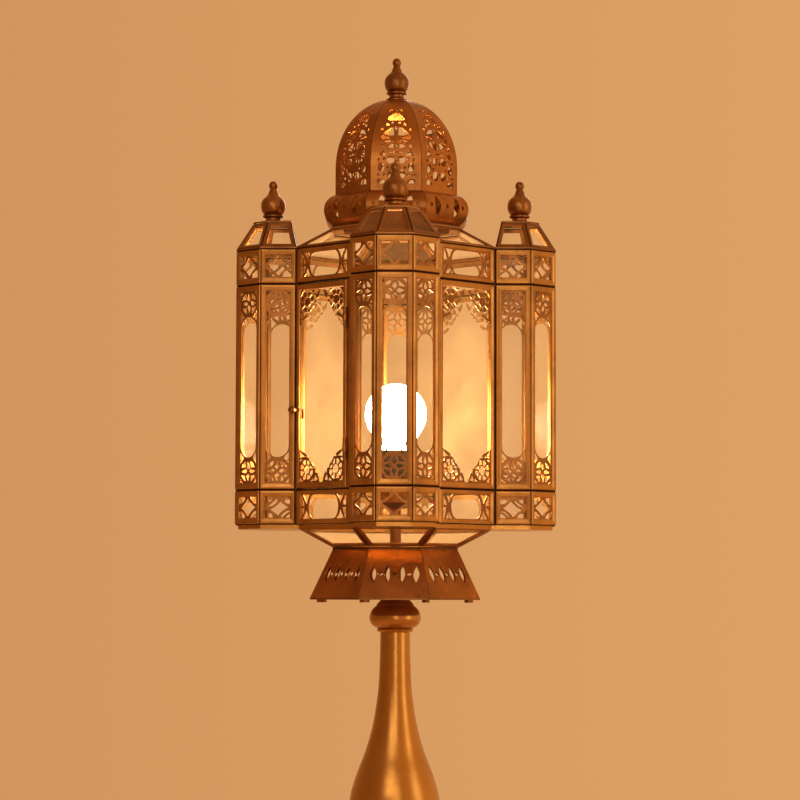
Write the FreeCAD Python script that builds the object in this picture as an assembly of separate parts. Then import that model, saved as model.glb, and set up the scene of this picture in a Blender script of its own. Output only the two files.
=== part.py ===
import FreeCAD, Part
import math
import os

# Lantern table lamp, in millimetres. Z is up, the front is -Y, and the origin is the centre of the
# felt pad's underside. The lantern is an eight-sided body with a five-sided turret on each of its
# four cardinal faces, and the diagonal face at the front left is a door.

# ---- Driving dimensions: plan of the lantern ----
core_flats = 177.2          # across the cardinal faces of the body
turret_flats = 78.0         # across the flats of each turret's octagon, and the width of its mouth
plate_t = 2.0               # cast grille plates
seam = 0.5                  # gap between neighbouring plates
pane_t = 1.8                # glass
pane_gap = 0.1              # between a pane and the plate in front of it
post_t = 1.4                # corner posts, bent from strip
post_leg = 2.6              # length of each leg of a post

# ---- Driving dimensions: heights, from the bottom up ----
felt_t = 2.0
foot_h = 26.0
vase_h = 239.0
knob_h = 29.1
skirt_plate_t = 1.5
skirt_h = 43.0
throat_t = 2.0
funnel_h = 16.1
floor_t = 3.6
low_band_h = 31.0
grille_h = 183.6
high_band_h = 32.0
eaves_t = 1.5
roof_h = 19.0
crown_t = 1.5
collar_h = 28.0
dome_wall_h = 24.0
dome_rise = 66.5
turret_roof_h = 24.3
turret_cap_t = 1.2

# ---- Driving dimensions: frames and fretwork ----
turret_border = 4.3         # frame around each turret grille
panel_border = 4.6          # frame around each diagonal panel
strip_border = 3.0          # frame around the strips above and below the panels
roof_border = 3.4           # frame around each roof pane
funnel_border = 3.2
diamond_bar = 2.4           # bar of the diamond in each band grille
fret_bar = 1.8              # bars of the fretwork in the tall grilles
arch_sides = 4              # straight sides that make up an arch's half circle
spandrel_h = 31.0           # height of the corner spandrels of a diagonal panel
lobe_depth = 2.6            # how far a spandrel's lobes swell out
rosette_hole = 4.6          # across the corners of a spandrel's pierced petals
strip_window_w = 38.0       # middle window of a strip
strip_window_h = 22.0
strip_bar = 2.6

# ---- Driving dimensions: skirt, throat, collar and dome ----
skirt_half = 75.5           # centre to a face of the skirt, at its lower edge
throat_half = 55.7          # and at its upper edge
skirt_t = 1.6
skirt_lens_w = 4.6
skirt_lens_h = 15.3
skirt_lens_pitch = 12.6
skirt_lens_count = 4
skirt_dot_w = 2.6            # small slots between the long ones
skirt_dot_h = 3.8
funnel_inset = 2.6          # from the cardinal walls in to the funnel's upper edge
ring_land = 9.0             # width of the floor, eaves, throat and crown rings
floor_inset = 3.2           # how far the floor steps in from the walls
crown_half = 57.0
collar_half = 64.9
collar_t = 1.6
collar_lens_w = 5.2
collar_lens_h = 14.0
collar_lens_pitch = 25.2
collar_dot_w = 2.7           # three small slots between the long ones
collar_dot_h = 3.8
collar_dot_pitch = 5.6
dome_half = 54.7
dome_t = 1.6
dome_mouth = 8.0            # centre to a gore's upper end
rosette_rise = (10.0, 37.0)  # centres of a gore's two rosettes above the dome's base
rosette_reach = (10.5, 8.4)  # and their half sizes
dome_bar = 2.6

# ---- Driving dimensions: turret roofs and finials ----
turret_top_flats = 45.0
turret_top_shift = 1.8      # the roof's top sits this far outside the turret's own centre
turret_top_setback = 5.7    # from the body's face out to the inner edge of the roof's top
back_t = 1.2                # plain sheet at the back of a turret roof
finial_h = 39.0
finial_ball_r = 11.2
finial_ring_r = 9.5
finial_stem_r = 6.8
finial_base_r = 9.8
finial_tip_r = 4.0

# ---- Driving dimensions: vase, stem knob and foot ----
neck_r = 13.3
neck_straight = 17.0        # length of the straight neck
shoulder_h = 101.5          # height of the long hollow curve below the neck
shoulder_r = 31.2           # radius where the hollow curve turns into the belly
belly_r = 42.5
belly_drop = 55.0           # from the turn of the curve down to the widest point
vase_base_r = 25.0
vase_wall = 1.6
stem_knob_r = 23.2
stem_ring_r = 16.6
stem_cap_r = 16.4
foot_r = 75.0
foot_wall_h = 12.0          # upright rim of the foot
foot_wall = 4.0
weight_inset = 7.0          # from the foot's inner wall to the weight's edge
weight_t = 8.0
felt_inset = 2.0            # from the foot's rim to the felt's edge

# ---- Driving dimensions: lamp tube, holder and bulb ----
tube_r = 5.0
tube_bore_r = 3.6
fit_gap = 0.1               # radial clearance of a piece on the tube
nut_flats = 17.0
nut_t = 5.0
holder_base_z = 378.0       # underside of the lampholder
holder_cap_h = 14.0
holder_shell_h = 38.0
holder_r = 19.0
holder_wall = 1.6
bulb_cap_r = 13.2
bulb_cap_h = 24.0
bulb_r = 27.5
bulb_neck_h = 33.0          # from the cap's rim to the centre of the bulb
bulb_wall = 1.0

# ---- Driving dimensions: door, hinge and latch ----
jamb_w = 4.5                # fixed strip at the hinge side of the doorway
door_gap = 0.5
door_lift = 0.3             # the door lies this far proud, clear of the posts behind it
knuckle_r = 1.7
pin_r = 0.8
pin_gap = 0.05
knuckle_h = 6.0
knuckle_gap = 0.2
hinge_inset = 34.0          # centre of each hinge from the door's top or bottom
latch_height = 70.0         # of the latch above the door's lower edge
latch_inset = 3.0           # from the door's free edge
latch_stem_r = 1.0
door_pane_lap = 0.3         # how far the door frame covers the edge of its pane
latch_knob_r = 3.1
latch_reach = 12.0          # height of the knob above the door
latch_tab = (9.0, 3.0, 1.2)  # length, width and thickness of the tab behind the door
latch_depth = 4.2           # from the door's back to the tab

# ---- Driving dimensions: small parts ----
screw_head_r = 3.1
screw_head_h = 2.4
screw_ring = 71.5           # radius of the ring of screws under the skirt plate
inlet_r = 4.2
inlet_bore_r = 3.2
inlet_flange_r = 5.4
inlet_flange_t = 1.6

# ---- Levels and plan sizes that follow ----
foot_z = felt_t
vase_z = foot_z + foot_h
knob_z = vase_z + vase_h
plate_z = knob_z + knob_h
skirt_z = plate_z + skirt_plate_t
throat_z = skirt_z + skirt_h
funnel_z = throat_z + throat_t
floor_z = funnel_z + funnel_h
body_z = floor_z + floor_t
grille_z = body_z + low_band_h
high_band_z = grille_z + grille_h
eaves_z = high_band_z + high_band_h
roof_z = eaves_z + eaves_t
crown_z = roof_z + roof_h
collar_z = crown_z + crown_t
dome_z = collar_z + collar_h

fold = math.radians(22.5)   # half the angle between neighbouring faces of an octagon
half_side = math.tan(fold)  # half side of an octagon whose faces lie 1 from its centre
core_half = core_flats / 2
funnel_half = core_half - funnel_inset                     # centre to a face of the funnel's upper edge
turret_half = turret_flats / 2
turret_side = turret_flats * half_side
turret_centre = core_half + turret_side / 2
panel_half = (core_half + turret_half) / math.sqrt(2)      # centre to a diagonal face
panel_w = (core_half - turret_half) * math.sqrt(2)         # width of a diagonal face
turret_faces = (-2, -1, 0, 1, 2)                           # in steps of 45 degrees
sides = ("front", "right", "back", "left")

ORIGIN = FreeCAD.Vector(0, 0, 0)
X_AXIS = FreeCAD.Vector(1, 0, 0)
Z_AXIS = FreeCAD.Vector(0, 0, 1)


# ---- Helpers ----
def point(x, y, z=0.0):
    return FreeCAD.Vector(x, y, z)


def outline(points):
    return Part.makePolygon(points + points[:1])


def flat_face(points):
    return Part.Face(outline(points))


def prism(plan, low, high):
    """Upright prism over a plan outline of (x, y) pairs."""
    return flat_face([point(x, y, low) for x, y in plan]).extrude(point(0, 0, high - low))


def prismatoid(near, far):
    """Solid with flat sides between two outlines that have as many corners."""
    walls = [flat_face(near), flat_face(far)]
    for i in range(len(near)):
        j = (i + 1) % len(near)
        walls.append(flat_face([near[i], near[j], far[j], far[i]]))
    shell = Part.makeShell(walls)
    shell.sewShape()
    solid = Part.makeSolid(Part.Shell(shell.Faces))
    if solid.Volume < 0:
        solid.reverse()
    return solid


def plate(low_width, high_width, height, thickness, bend=fold, skew=0.0):
    """Flat plate in the XZ plane, outer face on y = 0, with sides bevelled to meet their neighbours.

    skew moves its upper edge sideways."""
    inset = thickness * math.tan(bend)

    def side(y, cut):
        return [point(-low_width / 2 + cut, y, 0), point(low_width / 2 - cut, y, 0),
                point(skew + high_width / 2 - cut, y, height), point(skew - high_width / 2 + cut, y, height)]

    return prismatoid(side(0, 0), side(thickness, inset))


def pierced(solid, holes, depth):
    """Cut holes, each an outline of (x, z) pairs, through a plate that is depth thick."""
    cutters = []
    for hole in holes:
        face = flat_face([point(x, -depth, z) for x, z in hole])
        cutters.append(face.extrude(point(0, 3 * depth, 0)))
    return solid.cut(cutters)


def turned_about_z(shape, degrees, centre=ORIGIN):
    copy = shape.copy()
    copy.rotate(centre, Z_AXIS, degrees)
    return copy


def leaned(shape, half, z, run=0.0, rise=1.0):
    """Stand a plate on the face that lies half from the centre at z and leans in by run over rise."""
    copy = shape.copy()
    copy.rotate(ORIGIN, X_AXIS, -math.degrees(math.atan2(run, rise)))
    copy.translate(point(0, -half, z))
    return copy


def mirrored_holes(holes, height):
    """The same holes upside down in a plate of that height."""
    return [[(x, height - z) for x, z in hole] for hole in holes]


def octagon(half, corner=None):
    """Plan of an octagon: half to its cardinal faces, corner half the width of those faces."""
    c = half * half_side if corner is None else corner
    return [(c, -half), (half, -c), (half, c), (c, half), (-c, half), (-half, c), (-half, -c), (-c, -half)]


def turret_plan(inset=0.0, mouth=0.0):
    """Plan of the front turret, five faces set in by inset, its mouth held mouth off the body."""
    half = turret_half - inset
    back = -core_half - mouth
    front = -turret_centre - half
    shoulder = -turret_centre - half * half_side
    corner = half * half_side
    return [(-half, back), (-half, shoulder), (-corner, front), (corner, front), (half, shoulder), (half, back)]


class Profile:
    """Outline for turning: starts at (r, z) and goes on by lines and three-point arcs."""

    def __init__(self, r, z):
        self.start = self.at = point(r, 0, z)
        self.edges = []

    def line(self, r, z):
        end = point(r, 0, z)
        self.edges.append(Part.makeLine(self.at, end))
        self.at = end
        return self

    def arc(self, middle, end):
        end = point(end[0], 0, end[1])
        self.edges.append(Part.Arc(self.at, point(middle[0], 0, middle[1]), end).toShape())
        self.at = end
        return self

    def turned(self):
        if self.at.distanceToPoint(self.start) > 1e-6:
            self.edges.append(Part.makeLine(self.at, self.start))
        return Part.Face(Part.Wire(self.edges)).revolve(ORIGIN, Z_AXIS, 360)


def tube(outer, inner, low, high):
    body = Part.makeCylinder(outer, high - low, point(0, 0, low))
    return body.cut(Part.makeCylinder(inner, high - low + 2, point(0, 0, low - 1)))


def write(node, solids):
    """Write one node, as one solid or as a group of separate solids."""
    shapes = []
    for shape in solids if isinstance(solids, list) else [solids]:
        shapes.extend(shape.Solids)
    shape = shapes[0] if len(shapes) == 1 else Part.makeCompound(shapes)
    shape.exportStep("parts/" + node + ".step")


# ---- Fretwork: each function gives outlines in a plate's own (x, z) frame ----
def diamond_holes(width, height, border, bar):
    """Four corner holes and a middle one, around a diamond whose tips touch the frame."""
    w = width / 2 - border
    h = height / 2 - border
    mid = height / 2
    share = bar / 2 / (w * h / math.hypot(w, h))
    holes = [[((1 - share) * w, mid), (0, mid + (1 - share) * h), (-(1 - share) * w, mid),
              (0, mid - (1 - share) * h)]]
    for sx, sz in ((1, 1), (-1, 1), (-1, -1), (1, -1)):
        holes.append([(sx * w, mid + sz * h), (sx * w, mid + sz * share * h), (sx * share * w, mid + sz * h)])
    return holes


def arched_window(width, low, high):
    """Window between low and high with a half round arch at each end."""
    r = width / 2
    end = []
    for i in range(arch_sides + 1):
        angle = math.pi * i / arch_sides
        end.append((r * math.cos(angle), r * math.sin(angle)))
    top = [(x, high - r + z) for x, z in end]
    bottom = [(-x, low + r - z) for x, z in end]
    return top + bottom


def star_hole(x, z, reach, waist):
    """Four-pointed hole whose points lie on the diagonals."""
    points = []
    for i in range(8):
        r = reach if i % 2 else waist
        angle = math.radians(45 * i)
        points.append((x + r * math.cos(angle), z + r * math.sin(angle)))
    return points


def grille_holes(width, height, border):
    """Tall turret grille: a pierced round at each end and a long arched window between them."""
    window = width - 2 * border
    centre = border + window / 2
    reach = window / 2 - fret_bar / 2
    holes = [star_hole(0, centre, reach, reach * 0.42)]
    holes += mirrored_holes(holes, height)
    low = border + window + fret_bar
    holes.append(arched_window(window, low, height - low))
    return holes


def spandrel_edge(x0, z0, x1, z1):
    """Scalloped edge from (x0, z0) to (x1, z1): three lobes, each with one point between cusps."""
    lobes = 3
    run = math.hypot(x1 - x0, z1 - z0)
    nx, nz = (z1 - z0) / run, -(x1 - x0) / run
    points = []
    for i in range(lobes):
        a = (i + 0.5) / lobes
        b = (i + 1) / lobes
        points.append((x0 + a * (x1 - x0) + nx * lobe_depth, z0 + a * (z1 - z0) + nz * lobe_depth))
        points.append((x0 + b * (x1 - x0), z0 + b * (z1 - z0)))
    return points


def panel_holes(width, height, border):
    """Diagonal panel: one big window with a scalloped spandrel in each corner, pierced with petals."""
    w = width / 2 - border
    top = height - border
    quarter = [(w, top - spandrel_h)] + spandrel_edge(w, top - spandrel_h, 0.0, top - fret_bar)
    left = [(-x, z) for x, z in reversed(quarter[:-1])]
    upper = quarter + left
    lower = [(-x, height - z) for x, z in upper]
    holes = [upper + lower]
    r = rosette_hole / 2
    for sx in (-1, 1):
        for x, z in ((w - 1.5 * r, 1.9 * r), (w - 4.6 * r, 1.7 * r), (w - 1.5 * r, 5.2 * r)):
            hole = [(sx * x + r, top - z), (sx * x, top - z + r), (sx * x - r, top - z), (sx * x, top - z - r)]
            holes.append(hole)
    return holes + mirrored_holes(holes[1:], height)


def strip_holes(width, height):
    """Strip: a window crossed by an X, and a slot at each end."""
    w, h = strip_window_w / 2, strip_window_h / 2
    mid = height / 2
    bar = strip_bar / 2
    slant = math.hypot(w, h) / h * bar
    drop = math.hypot(w, h) / w * bar
    holes = []
    for s in (-1, 1):
        holes.append([(s * w, mid + h - drop), (s * slant, mid), (s * w, mid - h + drop)])
        holes.append([(w - slant, mid + s * h), (0, mid + s * drop), (-w + slant, mid + s * h)])
        near, far = w + strip_bar, width / 2 - strip_border
        holes.append([(s * near, mid - h * 0.7), (s * far, mid - h * 0.7), (s * far, mid + h * 0.7),
                      (s * near, mid + h * 0.7)])
    return holes


def lens_holes(count, pitch, lens_w, lens_h, middle):
    """Row of upright lens slots."""
    holes = []
    for i in range(count):
        x = (i - (count - 1) / 2) * pitch
        holes.append([(x - lens_w / 2, middle), (x, middle - lens_h / 2), (x + lens_w / 2, middle),
                      (x, middle + lens_h / 2)])
    return holes


def frame_hole(low_width, high_width, height, border, skew=0.0):
    """Opening that leaves an even border around a plate with sloping sides."""
    lean = math.atan2((low_width - high_width) / 2, height)
    side_border = border / math.cos(lean)

    def level(z, side):
        half = (low_width + (high_width - low_width) * z / height) / 2 - side_border
        return (skew * z / height + side * half, z)

    return [level(border, -1), level(border, 1), level(height - border, 1), level(height - border, -1)]


# ---- Walls of the lantern ----
def turret_wall(low, height, holes, shift):
    """Five plates round the front turret."""
    width = turret_side - seam
    one = pierced(plate(width, width, height - seam, plate_t), holes, plate_t)
    one = leaned(one, turret_half, low + shift)
    one.translate(point(0, -turret_centre, 0))
    return [turned_about_z(one, 45 * k, point(0, -turret_centre)) for k in turret_faces]


def turret_panes(low, high):
    """Five tall panes behind the front turret's plates, between the posts' legs."""
    depth = plate_t + pane_gap
    width = 2 * (turret_half - depth) * half_side - 2 * post_leg - 2 * pane_gap
    one = leaned(plate(width, width, high - low, pane_t, 0.0), turret_half - depth, low)
    one.translate(point(0, -turret_centre, 0))
    return [turned_about_z(one, 45 * k, point(0, -turret_centre)) for k in turret_faces]


def diagonal(shape, index):
    """Turn a shape made for the front to diagonal face 0 (front right) to 3 (front left)."""
    return turned_about_z(shape, 45 + 90 * index)


def panel_plate():
    width = panel_w - seam
    height = grille_h - seam
    return pierced(plate(width, width, height, plate_t, 0.0), panel_holes(width, height, panel_border), plate_t)


def strip_plate(height):
    width = panel_w - seam
    return pierced(plate(width, width, height - seam, plate_t, 0.0), strip_holes(width, height - seam), plate_t)


def back_pane(width, height):
    """Pane behind a diagonal plate, clear of the posts' legs."""
    return plate(width - 2 * post_leg - 2 * pane_gap - 2 * plate_t, width - 2 * post_leg - 2 * pane_gap
                 - 2 * plate_t, height, pane_t, 0.0)


def bent_post(corner, along_a, in_a, along_b, in_b, low, high):
    """Strip bent round a corner: two legs, each post_leg long, thickened inwards."""
    spread = post_t * math.tan(fold)
    turn = 1 if (along_a[0] * in_b[0] + along_a[1] * in_b[1]) > 0 else -1
    inner = (corner[0] + in_a[0] * post_t + turn * along_a[0] * spread,
             corner[1] + in_a[1] * post_t + turn * along_a[1] * spread)
    a_end = (corner[0] + along_a[0] * post_leg, corner[1] + along_a[1] * post_leg)
    b_end = (corner[0] + along_b[0] * post_leg, corner[1] + along_b[1] * post_leg)
    plan = [corner, a_end, (a_end[0] + in_a[0] * post_t, a_end[1] + in_a[1] * post_t), inner,
            (b_end[0] + in_b[0] * post_t, b_end[1] + in_b[1] * post_t), b_end]
    return prism(plan, low, high)


def corner_posts():
    """Posts behind the seams of the walls: four on each turret's outer corners, two at its mouth."""
    r = math.sqrt(0.5)
    half = turret_half - plate_t
    outer = (half * half_side, -half)
    convex = bent_post(outer, (-1, 0), (0, 1), (r, r), (-r, r), body_z, eaves_z)
    convex.translate(point(0, -turret_centre, 0))
    centre = point(0, -turret_centre)
    turret = [turned_about_z(convex, 45 * k, centre) for k in (-2, -1, 0, 1)]
    back = -core_half + plate_t * half_side
    for s in (-1, 1):
        mouth = (s * half, back)
        turret.append(bent_post(mouth, (0, -1), (-s, 0), (s * r, r), (-s * r, r), body_z, eaves_z))
    return [turned_about_z(post, 90 * i) for i in range(4) for post in turret]


for_all_sides = list(enumerate(sides))
os.makedirs("parts", exist_ok=True)

band_width = turret_side - seam
low_holes = diamond_holes(band_width, low_band_h - seam, turret_border, diamond_bar)
high_holes = diamond_holes(band_width, high_band_h - seam, turret_border, diamond_bar)
bands = turret_wall(body_z, low_band_h, low_holes, seam / 2)
bands += turret_wall(high_band_z, high_band_h, high_holes, seam / 2)
grilles = turret_wall(grille_z, grille_h, grille_holes(band_width, grille_h - seam, turret_border), seam / 2)
panes = turret_panes(body_z + seam, eaves_z - seam)
for index, side in for_all_sides:
    write("turret_" + side + "_bands", [turned_about_z(s, 90 * index) for s in bands])
    write("turret_" + side + "_grilles", [turned_about_z(s, 90 * index) for s in grilles])
    write("turret_" + side + "_glass", [turned_about_z(s, 90 * index) for s in panes])
write("corner_posts", corner_posts())

panel = leaned(panel_plate(), panel_half, grille_z + seam / 2)
panel_pane = leaned(back_pane(panel_w, grille_h - 2 * seam), panel_half - plate_t - pane_gap, grille_z + seam)
for index, name in ((0, "front_right"), (1, "back_right"), (2, "back_left")):
    write("panel_" + name, diagonal(panel, index))
write("panel_glass", [diagonal(panel_pane, index) for index in range(3)])

low_strip = leaned(strip_plate(low_band_h), panel_half, body_z + seam / 2)
high_strip = leaned(strip_plate(high_band_h), panel_half, high_band_z + seam / 2)
low_pane = leaned(back_pane(panel_w, low_band_h - 2 * seam), panel_half - plate_t - pane_gap, body_z + seam)
high_pane = leaned(back_pane(panel_w, high_band_h - 2 * seam), panel_half - plate_t - pane_gap,
                   high_band_z + seam)
write("band_strips", [diagonal(s, index) for s in (low_strip, high_strip) for index in range(4)])
write("strip_glass", [diagonal(s, index) for s in (low_pane, high_pane) for index in range(4)])


# ---- Door, hinge and latch, made for the front and turned to the front left ----
# The hinge is at the door's right edge, seen from outside, and the latch is at its left edge.
axis_x = panel_w / 2 - jamb_w - door_gap / 2
axis_y = -panel_half - door_lift - knuckle_r - pin_gap
door_right = axis_x - door_gap / 2
door_left = -panel_w / 2 + door_gap
door_w = door_right - door_left
door_mid = (door_right + door_left) / 2
door_z = grille_z + door_gap
door_h = grille_h - 2 * door_gap
hinge_levels = (door_z + hinge_inset, door_z + door_h - hinge_inset)


def barrel(level, step, radius=knuckle_r):
    """One knuckle of a hinge: step -1, 0 or 1 from the hinge's middle."""
    low = level - knuckle_h / 2 + step * (knuckle_h + knuckle_gap)
    body = Part.makeCylinder(radius, knuckle_h, point(axis_x, axis_y, low))
    return body.cut(Part.makeCylinder(pin_r + pin_gap, knuckle_h + 2, point(axis_x, axis_y, low - 1)))


def lug(level, step, x0, x1, y0, y1):
    """Lug that joins a knuckle to the strip or stile behind it."""
    low = level - knuckle_h / 2 + step * (knuckle_h + knuckle_gap)
    body = Part.makeBox(x1 - x0, y1 - y0, knuckle_h, point(x0, y0, low))
    return body.cut(Part.makeCylinder(pin_r + pin_gap, knuckle_h + 2, point(axis_x, axis_y, low - 1)))


def door_leaf():
    width, height = door_w, door_h
    leaf = pierced(plate(width, width, height, plate_t, 0.0), panel_holes(width, height, panel_border), plate_t)
    leaf = leaned(leaf, panel_half + door_lift, door_z)
    leaf.translate(point(door_mid, 0, 0))
    for level in hinge_levels:
        leaf = leaf.fuse(barrel(level, 0))
        leaf = leaf.fuse(lug(level, 0, axis_x - knuckle_r, axis_x - pin_r, axis_y, -panel_half))
    hole = Part.makeCylinder(latch_stem_r + pin_gap, 4 * plate_t,
                             point(latch_x, -panel_half - 2 * plate_t, latch_z), point(0, 1, 0))
    return leaf.cut(hole).removeSplitter()


def hinge_jamb():
    strip = plate(jamb_w - seam / 2, jamb_w - seam / 2, grille_h - seam, plate_t, 0.0)
    strip = leaned(strip, panel_half, grille_z + seam / 2)
    strip.translate(point(panel_w / 2 - (jamb_w - seam / 2) / 2 - seam / 2, 0, 0))
    for level in hinge_levels:
        for step in (-1, 1):
            strip = strip.fuse(barrel(level, step))
            strip = strip.fuse(lug(level, step, axis_x + pin_r, axis_x + knuckle_r, axis_y, -panel_half + 0.5))
    return strip.removeSplitter()


def hinge_pins():
    length = 3 * knuckle_h + 2 * knuckle_gap
    return [Part.makeCylinder(pin_r, length, point(axis_x, axis_y, level - length / 2)) for level in hinge_levels]


latch_x = door_left + latch_inset
latch_z = door_z + latch_height
door_back = -panel_half - door_lift + plate_t


def latch_knob():
    """Turned knob on a stem that passes through the door's stile, made on +Z and laid along -Y."""
    inside = plate_t + latch_depth - latch_tab[2]
    profile = Profile(0, -inside).line(latch_stem_r, -inside).line(latch_stem_r, knuckle_r)
    neck = latch_knob_r / 2
    centre = latch_reach - latch_knob_r
    profile.line(neck, knuckle_r + 1.0).line(neck, centre - math.sqrt(latch_knob_r ** 2 - neck ** 2))
    knob = profile.arc((latch_knob_r, centre), (0, latch_reach)).turned()
    knob.rotate(ORIGIN, X_AXIS, 90)
    knob.translate(point(latch_x, -panel_half - door_lift, latch_z))
    return knob


def latch_tongue():
    """Tab fixed on the stem's inner end. It points down when the latch is open."""
    length, width, thickness = latch_tab
    y = door_back + latch_depth - thickness
    return Part.makeBox(width, thickness, length, point(latch_x - latch_stem_r, y, latch_z - length + width / 2))


door_pane_w = door_w - 2 * (panel_border - door_pane_lap)
door_pane_h = door_h - 2 * (panel_border - door_pane_lap)
door_pane = plate(door_pane_w, door_pane_w, door_pane_h, pane_t, 0.0)
door_pane = leaned(door_pane, panel_half + door_lift - plate_t - pane_gap, door_z + panel_border - door_pane_lap)
door_pane.translate(point(door_mid, 0, 0))
write("door_panel", diagonal(door_leaf(), 3))
write("door_glass", diagonal(door_pane, 3))
write("hinge_jamb", diagonal(hinge_jamb(), 3))
write("hinge_pins", [diagonal(s, 3) for s in hinge_pins()])
write("door_knob", diagonal(latch_knob(), 3))
write("latch_tab", diagonal(latch_tongue(), 3))


# ---- Floor, eaves, crown and throat ----
def ring(half, land, low, high):
    outer = prism(octagon(half), low, high)
    return outer.cut(prism(octagon(half - land), low - 1, high + 1))


def floor_tray():
    tray = prism(octagon(core_half - floor_inset, turret_half - floor_inset), floor_z, body_z)
    for i in range(4):
        tray = tray.fuse(turned_about_z(prism(turret_plan(floor_inset, -2 * floor_inset), floor_z, body_z), 90 * i))
    return tray.cut(prism(octagon(funnel_half - ring_land), floor_z - 1, body_z + 1)).removeSplitter()


def eaves_ring():
    body = prism(octagon(core_half, turret_half), eaves_z, roof_z)
    hollow = prism(octagon(core_half - ring_land), eaves_z - 1, roof_z + 1)
    for i in range(4):
        body = body.fuse(turned_about_z(prism(turret_plan(), eaves_z, roof_z), 90 * i))
        well = prism(turret_plan(ring_land, ring_land / 3), eaves_z - 1, roof_z + 1)
        hollow = hollow.fuse(turned_about_z(well, 90 * i))
    return body.cut(hollow).removeSplitter()


write("floor_tray", floor_tray())
write("eaves_ring", eaves_ring())
write("crown_ring", ring(crown_half, ring_land, crown_z, collar_z))
write("throat_ring", ring(throat_half, ring_land, throat_z, funnel_z))


# ---- Leaning plates: framed panes, and the pierced skirt ----
class Slope:
    """Leaning face of an octagon, between half_low at z and half_high at z + rise."""

    def __init__(self, half_low, width_low, half_high, width_high, z, rise, skew=0.0):
        self.run = half_low - half_high
        self.rise = rise
        self.half = half_low
        self.z = z
        self.low = width_low - seam
        self.high = width_high - seam
        self.height = math.hypot(self.run, rise)
        self.skew = skew

    def placed(self, shape):
        """Lean the plate, and trim its ends level with what it stands on and carries."""
        wide = 4 * max(self.half, self.low)
        level = Part.makeBox(wide, wide, self.rise, point(-wide / 2, -wide / 2, self.z))
        return leaned(shape, self.half, self.z, self.run, self.rise).common(level)

    def solid(self, thickness, holes):
        lean = math.atan2(abs(self.run), self.rise)
        bend = math.acos(math.cos(lean) ** 2 * math.cos(2 * fold) + math.sin(lean) ** 2) / 2
        body = plate(self.low, self.high, self.height, thickness, bend, self.skew)
        return self.placed(pierced(body, holes, thickness))

    def frame(self, border):
        return self.solid(plate_t, [frame_hole(self.low, self.high, self.height, border, self.skew)])

    def pane(self, border):
        """Pane behind the frame, with its edges two thirds of the way in under the border."""
        inset = 2 * border / 3
        cut = 2 * inset / math.cos(math.atan2((self.low - self.high) / 2, self.height))
        share = 1 - 2 * inset / self.height
        sheet = plate(self.low - cut, self.high - cut, self.height * share, pane_t, 0.0, self.skew * share)
        sheet.translate(point(self.skew * inset / self.height, plate_t + pane_gap, inset))
        return self.placed(sheet)


def octagon_slope(half_low, half_high, z, rise):
    return Slope(half_low, 2 * half_low * half_side, half_high, 2 * half_high * half_side, z, rise)


def all_round(shape, count=8):
    return [turned_about_z(shape, 360 / count * i) for i in range(count)]


funnel = octagon_slope(throat_half, funnel_half, funnel_z, funnel_h)
write("funnel_frames", all_round(funnel.frame(funnel_border)))
write("funnel_glass", all_round(funnel.pane(funnel_border)))

crown_side = 2 * crown_half * half_side
cardinal = Slope(core_half, turret_flats, crown_half, crown_side, roof_z, roof_h)
corner = Slope(panel_half, panel_w, crown_half, crown_side, roof_z, roof_h)
write("main_roof_frames", all_round(cardinal.frame(roof_border), 4)
      + [diagonal(corner.frame(roof_border), i) for i in range(4)])

skirt_slope = octagon_slope(skirt_half, throat_half, skirt_z, skirt_h)
skirt_lenses = lens_holes(skirt_lens_count, skirt_lens_pitch, skirt_lens_w, skirt_lens_h, skirt_slope.height / 2)
skirt_lenses += lens_holes(skirt_lens_count - 1, skirt_lens_pitch, skirt_dot_w, skirt_dot_h, skirt_slope.height / 2)
write("skirt", all_round(skirt_slope.solid(skirt_t, skirt_lenses)))


# ---- Turret roofs: five framed panes, a plain back, a cap and a finial ----
top_half = turret_top_flats / 2
top_side = turret_top_flats * half_side
top_centre = turret_centre + turret_top_shift
top_back = core_half + turret_top_setback
cap_z = roof_z + turret_roof_h


def turret_slope(k):
    """Face k of the front turret's roof, whose top is shifted out from the turret's centre."""
    angle = math.radians(45 * k)
    width, skew = top_side, -turret_top_shift * math.sin(angle)
    if abs(k) == 2:
        extra = top_centre - top_side / 2 - top_back
        width += extra
        skew += math.copysign(extra / 2, k)
    reach = top_half + turret_top_shift * math.cos(angle)
    return Slope(turret_half, turret_side, reach, width, roof_z, turret_roof_h, skew)


def on_turret(shape, k):
    copy = shape.copy()
    copy.translate(point(0, -turret_centre, 0))
    return turned_about_z(copy, 45 * k, point(0, -turret_centre))


def turret_roof_back():
    """Plain sheet that closes the roof towards the body."""
    side = Slope(turret_half, turret_side, top_half, top_side, roof_z, turret_roof_h)
    clear = plate_t / math.cos(math.atan2(side.run, side.rise)) + seam
    low, high = turret_half - clear, top_half - clear
    near = [point(-low, -core_half - seam, roof_z), point(low, -core_half - seam, roof_z),
            point(high, -top_back - seam, cap_z), point(-high, -top_back - seam, cap_z)]
    return prismatoid(near, [corner_point + point(0, -back_t, 0) for corner_point in near])


def turret_cap():
    front = -top_centre - top_half
    shoulder = -top_centre - top_side / 2
    plan = [(-top_half, -top_back), (-top_half, shoulder), (-top_side / 2, front), (top_side / 2, front),
            (top_half, shoulder), (top_half, -top_back)]
    return prism(plan, cap_z, cap_z + turret_cap_t)


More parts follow.
